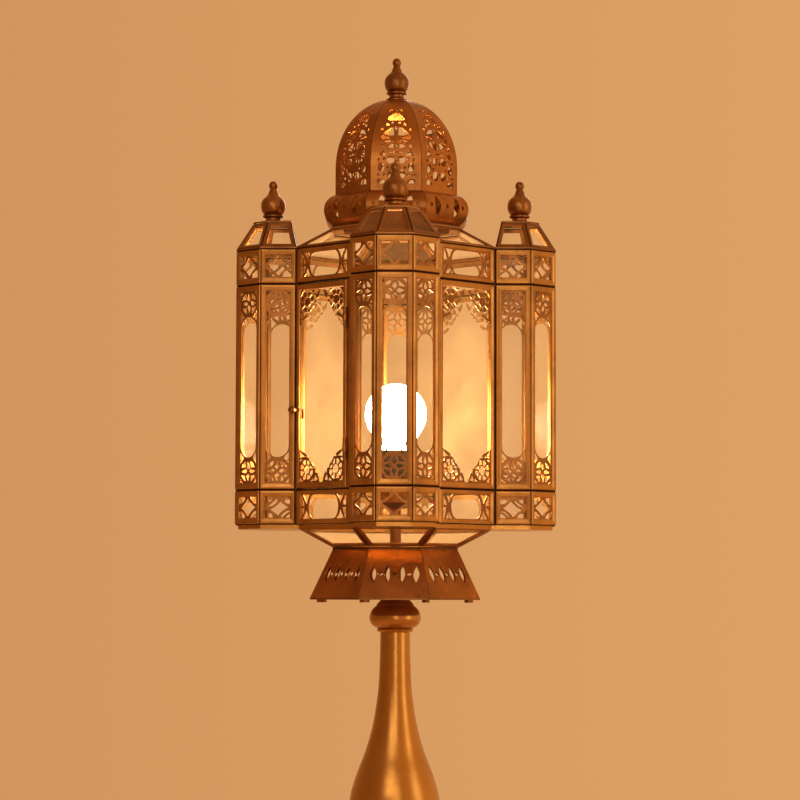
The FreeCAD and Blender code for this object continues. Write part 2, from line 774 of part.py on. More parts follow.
def finial():
    """Turned finial standing on z = 0: base, stem, ring, ball and tip."""
    stem_top = 0.125 * finial_h
    ring_mid = 0.18 * finial_h
    ball_low = 0.215 * finial_h
    ball_mid = ball_low + math.sqrt(finial_ball_r ** 2 - (finial_stem_r + 1.0) ** 2)
    ball_high = ball_mid + 0.65 * finial_ball_r
    shoulder_z = 0.70 * finial_h
    neck_z = 0.78 * finial_h
    tip_z = 0.89 * finial_h
    neck = finial_tip_r * 0.75
    profile = Profile(0, 0).line(finial_base_r, 0).line(finial_base_r, 1.0).line(finial_stem_r, 2.0)
    profile.line(finial_stem_r, stem_top).line(finial_ring_r, ring_mid).line(finial_stem_r + 1.0, ball_low)
    profile.arc((finial_ball_r, ball_mid), (math.sqrt(finial_ball_r ** 2 - (ball_high - ball_mid) ** 2), ball_high))
    profile.line(1.4 * neck, shoulder_z).line(neck, neck_z)
    profile.line(finial_tip_r, tip_z).line(finial_tip_r * 0.8, finial_h - 1.2)
    return profile.line(0, finial_h).turned()


roof_shapes = [on_turret(turret_slope(k).frame(roof_border), k) for k in turret_faces]
roof_shapes += [turret_roof_back(), turret_cap()]
roof_panes = [on_turret(turret_slope(k).pane(roof_border), k) for k in turret_faces]
finial_shape = finial()
turret_finial = finial_shape.copy()
turret_finial.translate(point(0, -(top_back + top_centre + top_half) / 2, cap_z + turret_cap_t))
for index, side in for_all_sides:
    write("turret_" + side + "_roof", [turned_about_z(s, 90 * index) for s in roof_shapes])
write("turret_finials", all_round(turret_finial, 4))
write("roof_glass", [turned_about_z(s, 90 * i) for i in range(4) for s in roof_panes]
      + all_round(cardinal.pane(roof_border), 4) + [diagonal(corner.pane(roof_border), i) for i in range(4)])


# ---- Collar and dome: curved gores, cut by the planes between neighbouring faces ----
def gore(edges, reach, holes, z):
    """Sweep a profile in the YZ plane sideways, cut it to an eighth, and pierce it from the front."""
    face = Part.Face(Part.Wire(Part.__sortEdges__(edges)))
    face.translate(point(-reach, 0, 0))
    body = face.extrude(point(2 * reach, 0, 0))
    near = seam / 2 / math.sin(fold)
    far = 2 * reach
    wide = (far - near) * math.tan(fold)
    body = body.common(prism([(0, -near), (wide, -far), (-wide, -far)], 0, 2 * z))
    cutters = [flat_face([point(x, -far, z + h) for x, h in hole]).extrude(point(0, far, 0)) for hole in holes]
    return body.cut(cutters)


def collar_gore():
    def wall(step):
        return Part.Arc(point(0, step - crown_half, collar_z), point(0, step - collar_half, collar_z + collar_h / 2),
                        point(0, step - dome_half, dome_z)).toShape()

    outer, inner = wall(0), wall(collar_t)
    low = Part.makeLine(point(0, -crown_half, collar_z), point(0, collar_t - crown_half, collar_z))
    high = Part.makeLine(point(0, -dome_half, dome_z), point(0, collar_t - dome_half, dome_z))
    holes = lens_holes(2, collar_lens_pitch, collar_lens_w, collar_lens_h, collar_h / 2)
    holes += lens_holes(3, collar_dot_pitch, collar_dot_w, collar_dot_h, collar_h / 2)
    return gore([outer, high, inner, low], collar_half, holes, collar_z)


def petals(middle, reach):
    """Four kites round a cross of bars."""
    bar = dome_bar / 2
    holes = []
    for sx, sz in ((1, 1), (-1, 1), (-1, -1), (1, -1)):
        holes.append([(sx * bar, middle + sz * bar), (sx * reach, middle + sz * bar),
                      (sx * reach * 0.7, middle + sz * reach * 0.7), (sx * bar, middle + sz * reach)])
    return holes


def dome_gore():
    """Upright band, then a quarter of an ellipse in to the mouth under the finial."""
    spring_z = dome_z + dome_wall_h

    def wall(step):
        a, b = dome_half - step, dome_rise - step
        curve = Part.Ellipse(point(0, 0, spring_z + b), point(0, -a, spring_z), point(0, 0, spring_z))
        arc = Part.ArcOfEllipse(curve, math.asin(dome_mouth / a), math.pi / 2).toShape()
        foot = Part.makeLine(point(0, -a, dome_z), point(0, -a, spring_z))
        top = point(0, -dome_mouth, spring_z + b * math.cos(math.asin(dome_mouth / a)))
        return arc, foot, top

    outer_arc, outer_foot, outer_top = wall(0)
    inner_arc, inner_foot, inner_top = wall(dome_t)
    low = Part.makeLine(point(0, -dome_half, dome_z), point(0, dome_t - dome_half, dome_z))
    edges = [outer_foot, outer_arc, Part.makeLine(outer_top, inner_top), inner_arc, inner_foot, low]
    holes = []
    for middle, reach in zip(rosette_rise, rosette_reach):
        holes += petals(dome_wall_h / 2 + middle, reach)
    return gore(edges, dome_half, holes, dome_z), outer_top.z


dome_piece, dome_top = dome_gore()
write("collar", all_round(collar_gore()))
write("dome", all_round(dome_piece))
finial_shape.translate(point(0, 0, dome_top))
write("dome_finial", finial_shape)


# ---- Turned pieces: foot, vase, stem knob ----
def upright_middle(upright, other):
    """Middle of the arc between two (r, z) points that runs upright at the first."""
    dr, dz = other[0] - upright[0], other[1] - upright[1]
    radius = (dr * dr + dz * dz) / (2 * abs(dr))
    half_turn = math.asin(abs(dz) / radius) / 2
    return (upright[0] + math.copysign(radius * (1 - math.cos(half_turn)), dr),
            upright[1] + math.copysign(radius * math.sin(half_turn), dz))


def vase():
    """Spun shell: straight neck, long hollow curve, belly, and a narrower base."""
    neck_z = knob_z - neck_straight
    turn_z = neck_z - shoulder_h
    belly_z = turn_z - belly_drop

    def wall(step):
        neck, turn = (neck_r - step, neck_z), (shoulder_r - step, turn_z)
        return neck, turn, (belly_r - step, belly_z), (vase_base_r - step, vase_z)

    neck, turn, belly, base = wall(0)
    profile = Profile(*base).arc(upright_middle(belly, base), belly).arc(upright_middle(belly, turn), turn)
    profile.arc(upright_middle(neck, turn), neck).line(neck_r, knob_z).line(neck_r - vase_wall, knob_z)
    neck, turn, belly, base = wall(vase_wall)
    profile.line(*neck).arc(upright_middle(neck, turn), turn).arc(upright_middle(belly, turn), belly)
    return profile.arc(upright_middle(belly, base), base).turned()


def stem_knob():
    """Turned knob between the vase's neck and the skirt plate: ring, knob and cap, bored for the tube."""
    bore = tube_r + fit_gap
    waist = 0.85 * neck_r + 2.5
    profile = Profile(bore, knob_z).line(neck_r + 0.6, knob_z).line(stem_ring_r, knob_z + 1.2)
    profile.line(stem_ring_r, knob_z + 3.0).line(waist, knob_z + 5.0)
    profile.arc((stem_knob_r, knob_z + 13.3), (waist, plate_z - 6.6))
    profile.line(stem_cap_r, plate_z - 5.4).line(stem_cap_r, plate_z - 3.6).line(neck_r, plate_z)
    return profile.line(bore, plate_z).turned()


def foot():
    """Cast foot, hollow underneath: upright rim and a low bell, with the cord's inlet at the back."""
    roof = vase_z - foot_wall
    rim_z = foot_z + foot_wall_h
    inner = foot_r - foot_wall
    bore = tube_r + fit_gap
    profile = Profile(inner, foot_z).line(foot_r, foot_z).line(foot_r, rim_z)
    profile.arc((0.68 * foot_r, rim_z + 0.28 * (vase_z - rim_z)), (vase_base_r + 5, vase_z - 2))
    profile.line(vase_base_r + 4, vase_z).line(bore, vase_z).line(bore, roof).line(vase_base_r, roof)
    profile.arc((0.66 * foot_r, rim_z + 0.2), (inner, rim_z - 2))
    body = profile.turned()
    return body.cut(Part.makeCylinder(inlet_r + fit_gap, 3 * foot_wall, inlet_start, point(0, 1, 0)))


def inlet_grommet():
    """Bush for the cord, flanged on the outside of the foot's rim."""
    length = foot_wall + 0.4 + 0.3 + inlet_flange_t
    body = Part.makeCylinder(inlet_r, length, point(0, foot_r - foot_wall - 0.4, inlet_z), point(0, 1, 0))
    flange = Part.makeCylinder(inlet_flange_r, inlet_flange_t, point(0, foot_r + 0.3, inlet_z), point(0, 1, 0))
    body = body.fuse(flange)
    bore = Part.makeCylinder(inlet_bore_r, 2 * length, point(0, foot_r - length, inlet_z), point(0, 1, 0))
    return body.cut(bore).removeSplitter()


def foot_weight():
    """Cast disc with a hub up to the foot's roof, counterbored below for the tube's nut."""
    low = foot_z + 0.2
    pocket = nut_flats / 2 / math.cos(math.radians(30)) + 1.0
    profile = Profile(tube_r + fit_gap, nut_z + nut_t).line(pocket, nut_z + nut_t).line(pocket, low)
    profile.line(weight_r, low).line(weight_r, low + weight_t).line(pocket + 4, low + weight_t)
    return profile.line(pocket + 4, vase_z - foot_wall).line(tube_r + fit_gap, vase_z - foot_wall).turned()


def hex_nut(flats, bore, low, thickness):
    corner_r = flats / 2 / math.cos(math.radians(30))
    plan = [(corner_r * math.cos(math.radians(60 * i)), corner_r * math.sin(math.radians(60 * i)))
            for i in range(6)]
    nut = prism(plan, low, low + thickness)
    return nut.cut(Part.makeCylinder(bore, thickness + 2, point(0, 0, low - 1))) if bore else nut


weight_r = foot_r - foot_wall - weight_inset
felt_r = foot_r - felt_inset
inlet_z = foot_z + foot_wall_h / 2
inlet_start = point(0, foot_r - 2 * foot_wall, inlet_z)
nut_z = foot_z + 0.6
write("felt_pad", Part.makeCylinder(felt_r, felt_t))
write("foot", foot())
write("foot_weight", foot_weight())
write("inlet_grommet", inlet_grommet())
write("vase", vase())
write("stem_knob", stem_knob())
write("lamp_tube", tube(tube_r, tube_bore_r, nut_z, holder_base_z + holder_cap_h - 4))
write("tube_nuts", [hex_nut(nut_flats, tube_r + fit_gap, nut_z, nut_t),
                    hex_nut(nut_flats, tube_r + fit_gap, skirt_z, nut_t)])

skirt_plate = prism(octagon(skirt_half), plate_z, skirt_z)
write("skirt_plate", skirt_plate.cut(Part.makeCylinder(tube_r + fit_gap, 10, point(0, 0, plate_z - 5))))
screw = hex_nut(2 * screw_head_r, 0, plate_z - screw_head_h, screw_head_h)
screw.translate(point(0, -screw_ring, 0))
write("skirt_screws", [turned_about_z(screw, 22.5 + 45 * i) for i in range(8)])


# ---- Lampholder and bulb ----
shell_z = holder_base_z + holder_cap_h
shell_top = shell_z + holder_shell_h
socket_z = shell_top - bulb_cap_h - 3.0
bulb_z = shell_top + bulb_neck_h


def holder_cap():
    bore = tube_r + fit_gap
    profile = Profile(bore, holder_base_z).line(bore + 4, holder_base_z).line(holder_r, holder_base_z + 5)
    profile.line(holder_r, shell_z).line(holder_r - holder_wall, shell_z)
    return profile.line(holder_r - holder_wall, holder_base_z + 7).line(bore, holder_base_z + 4).turned()


def holder_shell():
    profile = Profile(tube_bore_r, shell_z).line(holder_r, shell_z).line(holder_r, shell_top)
    profile.line(bulb_cap_r + pin_gap, shell_top).line(bulb_cap_r + pin_gap, socket_z)
    return profile.line(tube_bore_r, socket_z).turned()


def bulb_cap():
    profile = Profile(0, socket_z + 0.3).line(bulb_cap_r * 0.5, socket_z + 0.3)
    return profile.line(bulb_cap_r, socket_z + 4).line(bulb_cap_r, shell_top).line(0, shell_top).turned()


def bulb_glass():
    """Hollow globe on a short neck."""
    neck = bulb_cap_r - 0.6
    blend = 0.75 * bulb_neck_h
    edge = (math.sqrt(bulb_r ** 2 - (bulb_neck_h - blend + 8) ** 2), bulb_z - (bulb_neck_h - blend + 8))

    inner = bulb_r - bulb_wall
    profile = Profile(neck - bulb_wall, shell_top).line(neck, shell_top).line(*edge)
    profile.arc((bulb_r, bulb_z), (0, bulb_z + bulb_r)).line(0, bulb_z + inner)
    profile.arc((inner, bulb_z), (edge[0] - bulb_wall, edge[1]))
    return profile.turned()


write("holder_cap", holder_cap())
write("holder_shell", holder_shell())
write("bulb_cap", bulb_cap())
write("bulb_glass", bulb_glass())
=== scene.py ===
"""Lantern table lamp in pierced antique brass, lit from inside."""
import math
import bmesh
import bpy
from mathutils import Matrix, Vector


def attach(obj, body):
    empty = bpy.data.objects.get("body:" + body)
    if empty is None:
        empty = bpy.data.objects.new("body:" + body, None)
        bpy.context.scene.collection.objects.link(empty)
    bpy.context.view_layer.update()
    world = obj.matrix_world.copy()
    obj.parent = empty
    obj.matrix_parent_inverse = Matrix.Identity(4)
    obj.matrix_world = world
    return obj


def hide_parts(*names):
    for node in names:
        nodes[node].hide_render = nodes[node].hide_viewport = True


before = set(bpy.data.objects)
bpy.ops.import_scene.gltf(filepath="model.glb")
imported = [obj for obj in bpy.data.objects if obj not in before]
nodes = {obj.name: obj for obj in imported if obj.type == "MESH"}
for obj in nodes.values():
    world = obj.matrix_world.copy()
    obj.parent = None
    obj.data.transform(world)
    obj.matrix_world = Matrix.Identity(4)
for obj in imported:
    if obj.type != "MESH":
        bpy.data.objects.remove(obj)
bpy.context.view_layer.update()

# Sizes in millimetres, as in the part's source. Meshes are made in millimetres and finished in metres.
PLATE = 2.0
SEAM = 0.5
FOLD = math.tan(math.radians(22.5))
CORE = 88.6                    # centre of the lantern to a cardinal face
TURRET = 39.0                  # centre of a turret to one of its faces
TURRET_SIDE = 2 * TURRET * FOLD
TURRET_CENTRE = CORE + TURRET_SIDE / 2
PANEL_HALF = (CORE + TURRET) / math.sqrt(2)
PANEL_W = (CORE - TURRET) * math.sqrt(2)
LOW_BAND, GRILLE, HIGH_BAND = 31.0, 183.6, 32.0
SKIRT, THROAT, FUNNEL, CROWN = 75.5, 55.7, 86.0, 57.0    # centre to a face: the ends of the sloping parts
SKIRT_RISE, FUNNEL_RISE, ROOF_RISE, TURRET_RISE = 43.0, 16.1, 19.0, 24.3
DOME, DOME_BAND, DOME_ARCH, DOME_EYE = 54.7, 24.0, 66.5, 8.0    # half width, upright band, rise, half of the opening

# Heights of the lower ends
KNOB_Z, PLATE_Z, SKIRT_Z, FUNNEL_Z = 267.0, 296.1, 297.6, 342.6
BODY_Z, GRILLE_Z, HIGH_BAND_Z = 362.3, 393.3, 576.9
ROOF_Z, COLLAR_Z, DOME_Z = 610.4, 630.9, 658.9

# Frames round the openings: width of the uprights, then of the rails
BAND_FRAME, TALL_FRAME, STRIP_FRAME = (4.2, 5.6), (5.0, 5.6), (5.4, 4.2)
PANEL_STILE, PANEL_RAIL, DOOR_STILE = 4.6, 5.6, 3.4
FUNNEL_BAR, ROOF_BAR, TURRET_BAR = 4.0, 3.4, 3.8

# Fine form inside the solids
EDGE = 0.55                    # a frame's rim stays this far inside its solid's edge, for a wide seam, darkened by the painted-shade strip behind it
FRET_FRONT, SPANDREL_FRONT, SHEET_BACK = 1.15, 1.25, PLATE - 0.1    # depths of the pierced sheets
# Depths and reach of the near-black strips behind the seams, which paint the shade in the gaps
SHADE_SHEET_FRONT, SHADE_SHEET_BACK, SHADE_SHEET_REACH = 1.05, 1.75, 1.5
SPANDREL_W, SPANDREL_H = 30.5, 31.5    # as drawn. Its width then fits the panel.
LAP = 0.3                      # a spandrel reaches this far under its frame
CAP, SKIRT_SHEET, DOME_SHEET = 1.2, 0.7, 0.9    # thicknesses: plain plates of a turret's roof, skirt, dome and collar


# ---- Shader trees ----
class Wire:
    """An output socket that can be added, subtracted and multiplied, with numbers or other wires."""

    def __init__(self, tree, socket):
        self.tree, self.socket = tree, socket

    def combine(self, operation, first, second):
        return self.tree.node("Math", {"operation": operation}, {0: first, 1: second})

    def __add__(self, other):
        return self.combine("ADD", self, other)

    def __radd__(self, other):
        return self.combine("ADD", other, self)

    def __sub__(self, other):
        return self.combine("SUBTRACT", self, other)

    def __rsub__(self, other):
        return self.combine("SUBTRACT", other, self)

    def __mul__(self, other):
        return self.combine("MULTIPLY", self, other)

    def __rmul__(self, other):
        return self.combine("MULTIPLY", other, self)


class Tree:
    """The nodes of a material or a world."""

    def __init__(self, owner):
        owner.use_nodes = True
        self.nodes, self.links = owner.node_tree.nodes, owner.node_tree.links

    def put(self, socket, value):
        if isinstance(value, Wire):
            self.links.new(value.socket, socket)
        elif isinstance(value, tuple) and socket.type == "RGBA":
            socket.default_value = (*value, 1.0)
        else:
            socket.default_value = value

    def node(self, kind, settings=None, sockets=None, out=0):
        """Add a node by its type, its settings and its sockets' values or wires. Gives its output."""
        made = self.nodes.new("ShaderNode" + kind)
        for key, value in (settings or {}).items():
            if key == "stops":
                for element, (place, level) in zip(made.color_ramp.elements, value):
                    element.position = place
                    element.color = (level, level, level, 1.0)
            else:
                setattr(made, key, value)
        for key, value in (sockets or {}).items():
            self.put(made.inputs[key], value)
        return Wire(self, made.outputs[out])

    def here(self, stretch=(1.0, 1.0, 1.0)):
        place = self.node("TexCoord", out="Object")
        return self.node("Mapping", sockets={"Vector": place, "Scale": stretch})

    def noise(self, scale, detail=2.0, stretch=(1.0, 1.0, 1.0), rough=0.5):
        return self.node("TexNoise", sockets={"Vector": self.here(stretch), "Scale": scale, "Detail": detail,
                                              "Roughness": rough})

    def split(self, vector):
        apart = self.node("SeparateXYZ", sockets={0: vector}).socket.node
        return [Wire(self, apart.outputs[i]) for i in range(3)]

    def ramp(self, value, low, high):
        return self.node("ValToRGB", {"stops": ((low, 0.0), (high, 1.0))}, {"Fac": value})

    def mix(self, share, first, second):
        return self.node("Mix", {"data_type": "RGBA"}, {"Factor": share, "A": first, "B": second}, out="Result")

    def bump(self, height, depth, strength):
        return self.node("Bump", sockets={"Height": height, "Distance": depth, "Strength": strength})


class Finish(Tree):
    """A material and the nodes that make its look."""

    def __init__(self, name):
        self.material = bpy.data.materials.new(name)
        super().__init__(self.material)

    def surface(self, **values):
        for name, value in values.items():
            self.put(self.nodes["Principled BSDF"].inputs[name.replace("_", " ")], value)


def brass(name, clean, dark, rough, brushed=(1.0, 1.0, 1.0), scratch=900.0, tarnish=0.35, metal=0.86):
    """Antique brass: brushed lines, cloudy tarnish, dark spots and a fine grain in the gloss."""
    finish = Finish(name)
    cloud = finish.ramp(finish.noise(38.0, 5.0, rough=0.62), 0.40, 0.68)
    spots = finish.ramp(finish.noise(210.0, 4.0, rough=0.7), 0.52, 0.70)
    lines = finish.noise(scratch, 3.0, brushed, 0.6)
    worn = cloud * tarnish + spots * (0.5 * tarnish)
    finish.surface(Base_Color=finish.mix(worn, clean, dark), Metallic=metal,
                   Roughness=rough + 0.16 * (lines - 0.5) + 0.16 * worn,
                   Normal=finish.bump(lines, 0.00012, 0.5))
    return finish.material


def plain(name, light, dark, rough, scale=400.0, grain=0.0001, metallic=0.0):
    """Cast, moulded or pressed stuff: two near colours and a grain."""
    finish = Finish(name)
    cloud = finish.noise(scale, 4.0, rough=0.6)
    finish.surface(Base_Color=finish.mix(cloud, light, dark), Metallic=metallic,
                   Roughness=rough + 0.12 * (cloud - 0.5), Normal=finish.bump(cloud, grain, 0.6))
    return finish.material


def pane_glass():
    """Clear pane: nearly all of the view passes, and the gloss rises towards the edges."""
    finish = Finish("clear_pane")
    smear = finish.ramp(finish.noise(26.0, 4.0, rough=0.6), 0.35, 0.75)
    edge = finish.node("LayerWeight", sockets={"Blend": 0.25}, out="Facing")
    finish.surface(Base_Color=finish.mix(smear, (0.78, 0.52, 0.26), (0.90, 0.66, 0.38)),
                   Roughness=0.03 + 0.05 * smear, Alpha=0.012 + 0.022 * smear + 0.25 * edge * edge)
    finish.material.surface_render_method = "BLENDED"
    return finish.material


def glowing_bulb():
    """Opal bulb, alight: whitest facing out and warmer towards its rim."""
    finish = Finish("glowing_bulb")
    edge = finish.node("LayerWeight", sockets={"Blend": 0.35}, out="Facing")
    frost = finish.noise(60.0, 2.0)
    finish.surface(Base_Color=finish.mix(frost, (0.95, 0.90, 0.80), (1.0, 0.96, 0.88)), Roughness=0.25,
                   Emission_Color=finish.mix(edge, (1.0, 0.80, 0.45), (1.0, 0.55, 0.18)), Emission_Strength=130.0)
    return finish.material


# Clean colour, dark colour, roughness, stretch and scale of the brushed lines, tarnish, metal
cast_brass = brass("cast_brass", (0.52, 0.245, 0.06), (0.17, 0.062, 0.015), 0.30, (1.0, 1.0, 9.0), 420.0, 0.45)
# Painted shade: a darker copy of the brass for the pierced sheets set back inside the frames, the funnel's bars and the
# hinge jamb
shaded_fret_brass = brass("shaded_fret_brass", (0.36, 0.145, 0.032), (0.10, 0.034, 0.010), 0.38, (1.0, 1.0, 1.0), 700.0, 0.5, 0.72)
dome_brass = brass("dome_brass", (0.42, 0.155, 0.030), (0.13, 0.042, 0.010), 0.34, (1.0, 1.0, 5.0), 500.0, 0.5, 0.8)
# Painted shade: a darker copy of the brass for the roofs, the spandrels set in behind the frames, the eaves and crown
# rings and the skirt's bottom plate
shaded_roof_brass = brass("shaded_roof_brass", (0.30, 0.12, 0.028), (0.09, 0.032, 0.009), 0.36, (1.0, 1.0, 7.0), 420.0, 0.5, 0.76)
spun_brass = brass("spun_brass", (0.52, 0.245, 0.052), (0.26, 0.105, 0.022), 0.20, (9.0, 9.0, 0.35), 330.0, 0.22)
turned_brass = brass("turned_brass", (0.32, 0.13, 0.032), (0.10, 0.038, 0.011), 0.29, (0.5, 0.5, 14.0), 300.0, 0.45)
shade_brass = brass("shade_brass", (0.13, 0.050, 0.014), (0.05, 0.02, 0.007), 0.45)
# Near-black brass is painted shade: it darkens the strips behind the seams, and the hinge pins
painted_shade_black = brass("painted_shade_black", (0.026, 0.010, 0.004), (0.012, 0.005, 0.002), 0.6)

# Light colour, dark colour, roughness, scale and depth of the grain
steel = plain("steel", (0.55, 0.54, 0.52), (0.36, 0.35, 0.33), 0.34, metallic=1.0)
cap_metal = plain("cap_metal", (0.74, 0.70, 0.62), (0.55, 0.51, 0.44), 0.30, metallic=1.0)
bakelite = plain("bakelite", (0.045, 0.032, 0.026), (0.07, 0.05, 0.04), 0.28, 300.0, 0.00004)
iron = plain("iron", (0.10, 0.095, 0.09), (0.17, 0.15, 0.14), 0.75, 500.0, 0.0004)
felt = plain("felt", (0.035, 0.075, 0.045), (0.07, 0.12, 0.08), 0.95, 1500.0, 0.0006)
rubber = plain("rubber", (0.035, 0.034, 0.033), (0.055, 0.054, 0.05), 0.6, 700.0)

pane = pane_glass()
bulb_glow = glowing_bulb()


# ---- Outlines in a plate's own x and z, with the plate's lower edge at z = 0 ----
def box_outline(width, low, high):
    return [(-width / 2, low), (width / 2, low), (width / 2, high), (-width / 2, high)]


def oval(x, z, a, b, count):
    turns = [2 * math.pi * i / count for i in range(count)]
    return [(x + a * math.cos(turn), z + b * math.sin(turn)) for turn in turns]


def almond(x, z, a, b, turn=0.0):
    """Slot with pointed ends that reaches b up and down, and a to the sides."""
    side = [(a * math.cos(math.radians(t)) ** 1.15, b * t / 90) for t in (-90, -68, -45, -22, 0, 22, 45, 68)]
    points = side + [(-u, -v) for u, v in side]
    return [(x + u * math.cos(turn) - v * math.sin(turn), z + u * math.sin(turn) + v * math.cos(turn))
            for u, v in points]


def polar(x, z, scale, pairs, turn=0.0):
    """Outline about (x, z) from pairs of radius and degrees."""
    return [(x + scale * r * math.cos(math.radians(a + turn)), z + scale * r * math.sin(math.radians(a + turn)))
            for r, a in pairs]


def flipped(holes, height):
    return [[(x, height - z) for x, z in reversed(hole)] for hole in holes]


def mirrored(holes):
    return [[(-x, z) for x, z in reversed(hole)] for hole in holes]


def arched(half, low, high):
    """Window with a half round arch at each end."""
    turns = [math.pi * i / 9 for i in range(10)]
    return ([(half * math.cos(a), high - half + half * math.sin(a)) for a in turns]
            + [(-half * math.cos(a), low + half - half * math.sin(a)) for a in turns])


def star_round(z, w):
    """Pierced round that fills an opening 2 w wide: a four-pointed star of kites with petals between."""
    holes = []
    for turn in (0, 90, 180, 270):
        holes.append(polar(0, z, w, ((0.13, 0), (0.40, -31), (0.84, 0), (0.40, 31)), turn))
        holes.append(polar(0, z, w, ((0.50, 45), (0.87, 19), (0.90, 32), (0.90, 45), (0.90, 58), (0.87, 71)), turn))
    return holes


def grille_holes(w, height, border):
    """Tall fret: a star round at each end and a long arched window between them."""
    low = border + w
    holes = star_round(low, w)
    for s in (-1, 1):
        corner = [(s * 0.95 * w, low - 0.95 * w), (s * 0.95 * w, low - 0.58 * w), (s * 0.79 * w, low - 0.79 * w),
                  (s * 0.58 * w, low - 0.95 * w)]
        shoulder = [(s * 0.93 * w, low + 0.62 * w), (s * 0.93 * w, low + 1.56 * w), (s * 0.52 * w, low + 1.09 * w)]
        holes += [corner, shoulder]
    holes += flipped(holes, height)
    side_bar, end_bar = 0.9, 1.3
    return holes + [arched(w - side_bar, low + w + end_bar, height - low - w - end_bar)]


def diamond_holes(w, h, mid):
    """Diamond with hollow sides: its middle, and the four corners outside it."""
    bar, dip = 0.155, 0.10    # half a bar's width and how hollow it is, as shares of the diamond's reach

    def side(t, scale):
        pull = scale * (1 - dip * 4 * t * (1 - t))
        return (1 - t) * w * pull, t * h * pull

    quarter = [side(t, 1 - bar) for t in (0.0, 0.2, 0.4, 0.6, 0.8)]
    middle = []
    for turns in range(4):
        for x, z in quarter:
            for _ in range(turns):
                x, z = -z * w / h, x * h / w
            middle.append((x, mid + z))
    corner = [(0.97 * w, 0.97 * h), (0.97 * w, 0.31 * h), *[side(t, 1 + bar) for t in (0.34, 0.45, 0.55, 0.66)],
              (0.31 * w, 0.97 * h)]
    holes = [middle]
    for sx in (-1, 1):
        for sz in (-1, 1):
            holes.append([(sx * x, mid + sz * z) for x, z in corner])
    return holes


def scallops(points, sag, steps):
    """Line of lobes through the points, each lobe swelling to its right-hand side by sag."""
    line = [points[0]]
    for (x0, z0), (x1, z1) in zip(points, points[1:]):
        run = math.hypot(x1 - x0, z1 - z0)
        nx, nz = (z1 - z0) / run, (x0 - x1) / run
        for i in range(1, steps + 1):
            t = i / steps
            swell = sag * math.sin(math.pi * t) ** 0.8 if i < steps else 0.0
            line.append((x0 + t * (x1 - x0) + nx * swell, z0 + t * (z1 - z0) + nz * swell))
    return line


def spandrel(width, height):
    """Corner piece seen with its square corner at (0, 0), x across and z down: outline and holes.

    The holes are a rosette with eight petals and what fits round it.
    """
    edge = scallops([(0.0, height), (0.44 * width, 0.705 * height), (0.735 * width, 0.395 * height), (width, 0.0)],
                    2.6, 7)
    holes = [polar(10.6, 11.6, 3.7, [(1.0 + 0.12 * (i % 2), 22.5 * i) for i in range(16)])]
    petal = ((0.53, 7), (0.94, 5), (1.0, 22.5), (0.94, 40), (0.53, 38))
    holes += [polar(10.6, 11.6, 9.3, petal, 45 * i) for i in range(8)]
    holes += [[(1.2, 1.2), (6.2, 1.2), (3.3, 3.5), (1.2, 6.4)],
              [(15.2, 1.3), (20.2, 1.3), (19.8, 4.2)],
              [(21.6, 1.3), (28.0, 1.3), (27.3, 4.6), (25.8, 7.9), (23.8, 9.4), (22.4, 6.6), (21.4, 3.8)],
              [(1.3, 17.9), (4.6, 20.9), (1.3, 20.9)],
              [(1.3, 22.2), (5.2, 22.8), (10.0, 23.2), (10.8, 24.4), (7.6, 26.4), (4.2, 27.8), (1.3, 28.3)]]
    holes = [[(x * width / SPANDREL_W, z * height / SPANDREL_H) for x, z in hole] for hole in holes]
    return [(0.0, 0.0)] + edge, holes


def strip_holes(height):
    """Strip: a wide window with bowed ends, and an X of two thin arcs beyond each end."""
    mid, reach = height / 2, 10.7
    turns = [math.pi * i / 12 for i in range(13)]
    window = ([(12.0 + 7.0 * math.sin(a), mid - reach * math.cos(a)) for a in turns]
              + [(-12.0 - 7.0 * math.sin(a), mid + reach * math.cos(a)) for a in turns])
    holes = [window]
    for s in (-1, 1):
        for v in (-1, 1):
            ends = ([(17.0, reach), (19.2, 8.2), (20.6, 5.4), (21.3, 3.1), (22.1, 3.1), (23.1, 5.4), (24.6, 8.2),
                     (26.6, reach)],
                    [(24.3, 1.0), (29.2, 1.0), (29.2, 10.5), (28.4, 10.2), (26.6, 7.4), (25.1, 4.4)])
            holes += [[(s * x, mid + v * z) for x, z in hole] for hole in ends]
    return holes


# ---- Metal: pierced plates, turned shapes and their placing ----
def cut_plate(outline, holes=(), front=0.0, back=PLATE, ease=0.3, levels=()):
    """Plate between y = front and y = back with holes through it, its front edges eased.

    Levels are heights at which its faces are cut, so that it can bend there.
    """
    bm = bmesh.new()
    edges = []
    for points in (outline, *holes):
        corners = [bm.verts.new((x, front, z)) for x, z in points]
        edges += [bm.edges.new(pair) for pair in zip(corners, corners[1:] + corners[:1])]
    bmesh.ops.triangle_fill(bm, edges=edges, use_beauty=True)
    for level in levels:
        bmesh.ops.bisect_plane(bm, geom=bm.verts[:] + bm.edges[:] + bm.faces[:], plane_co=(0, 0, level),
                               plane_no=(0, 0, 1))
    rim = [edge for edge in bm.edges if edge.is_boundary]
    grown = bmesh.ops.extrude_face_region(bm, geom=bm.faces[:])
    moved = [item for item in grown["geom"] if isinstance(item, bmesh.types.BMVert)]
    bmesh.ops.translate(bm, verts=moved, vec=(0, back - front, 0))
    bmesh.ops.recalc_face_normals(bm, faces=bm.faces)
    rim = [edge for edge in rim if edge.is_valid]
    bmesh.ops.bevel(bm, geom=rim, offset=ease, segments=1, profile=0.5, affect="EDGES", material=-1,
                    clamp_overlap=True)
    return bm


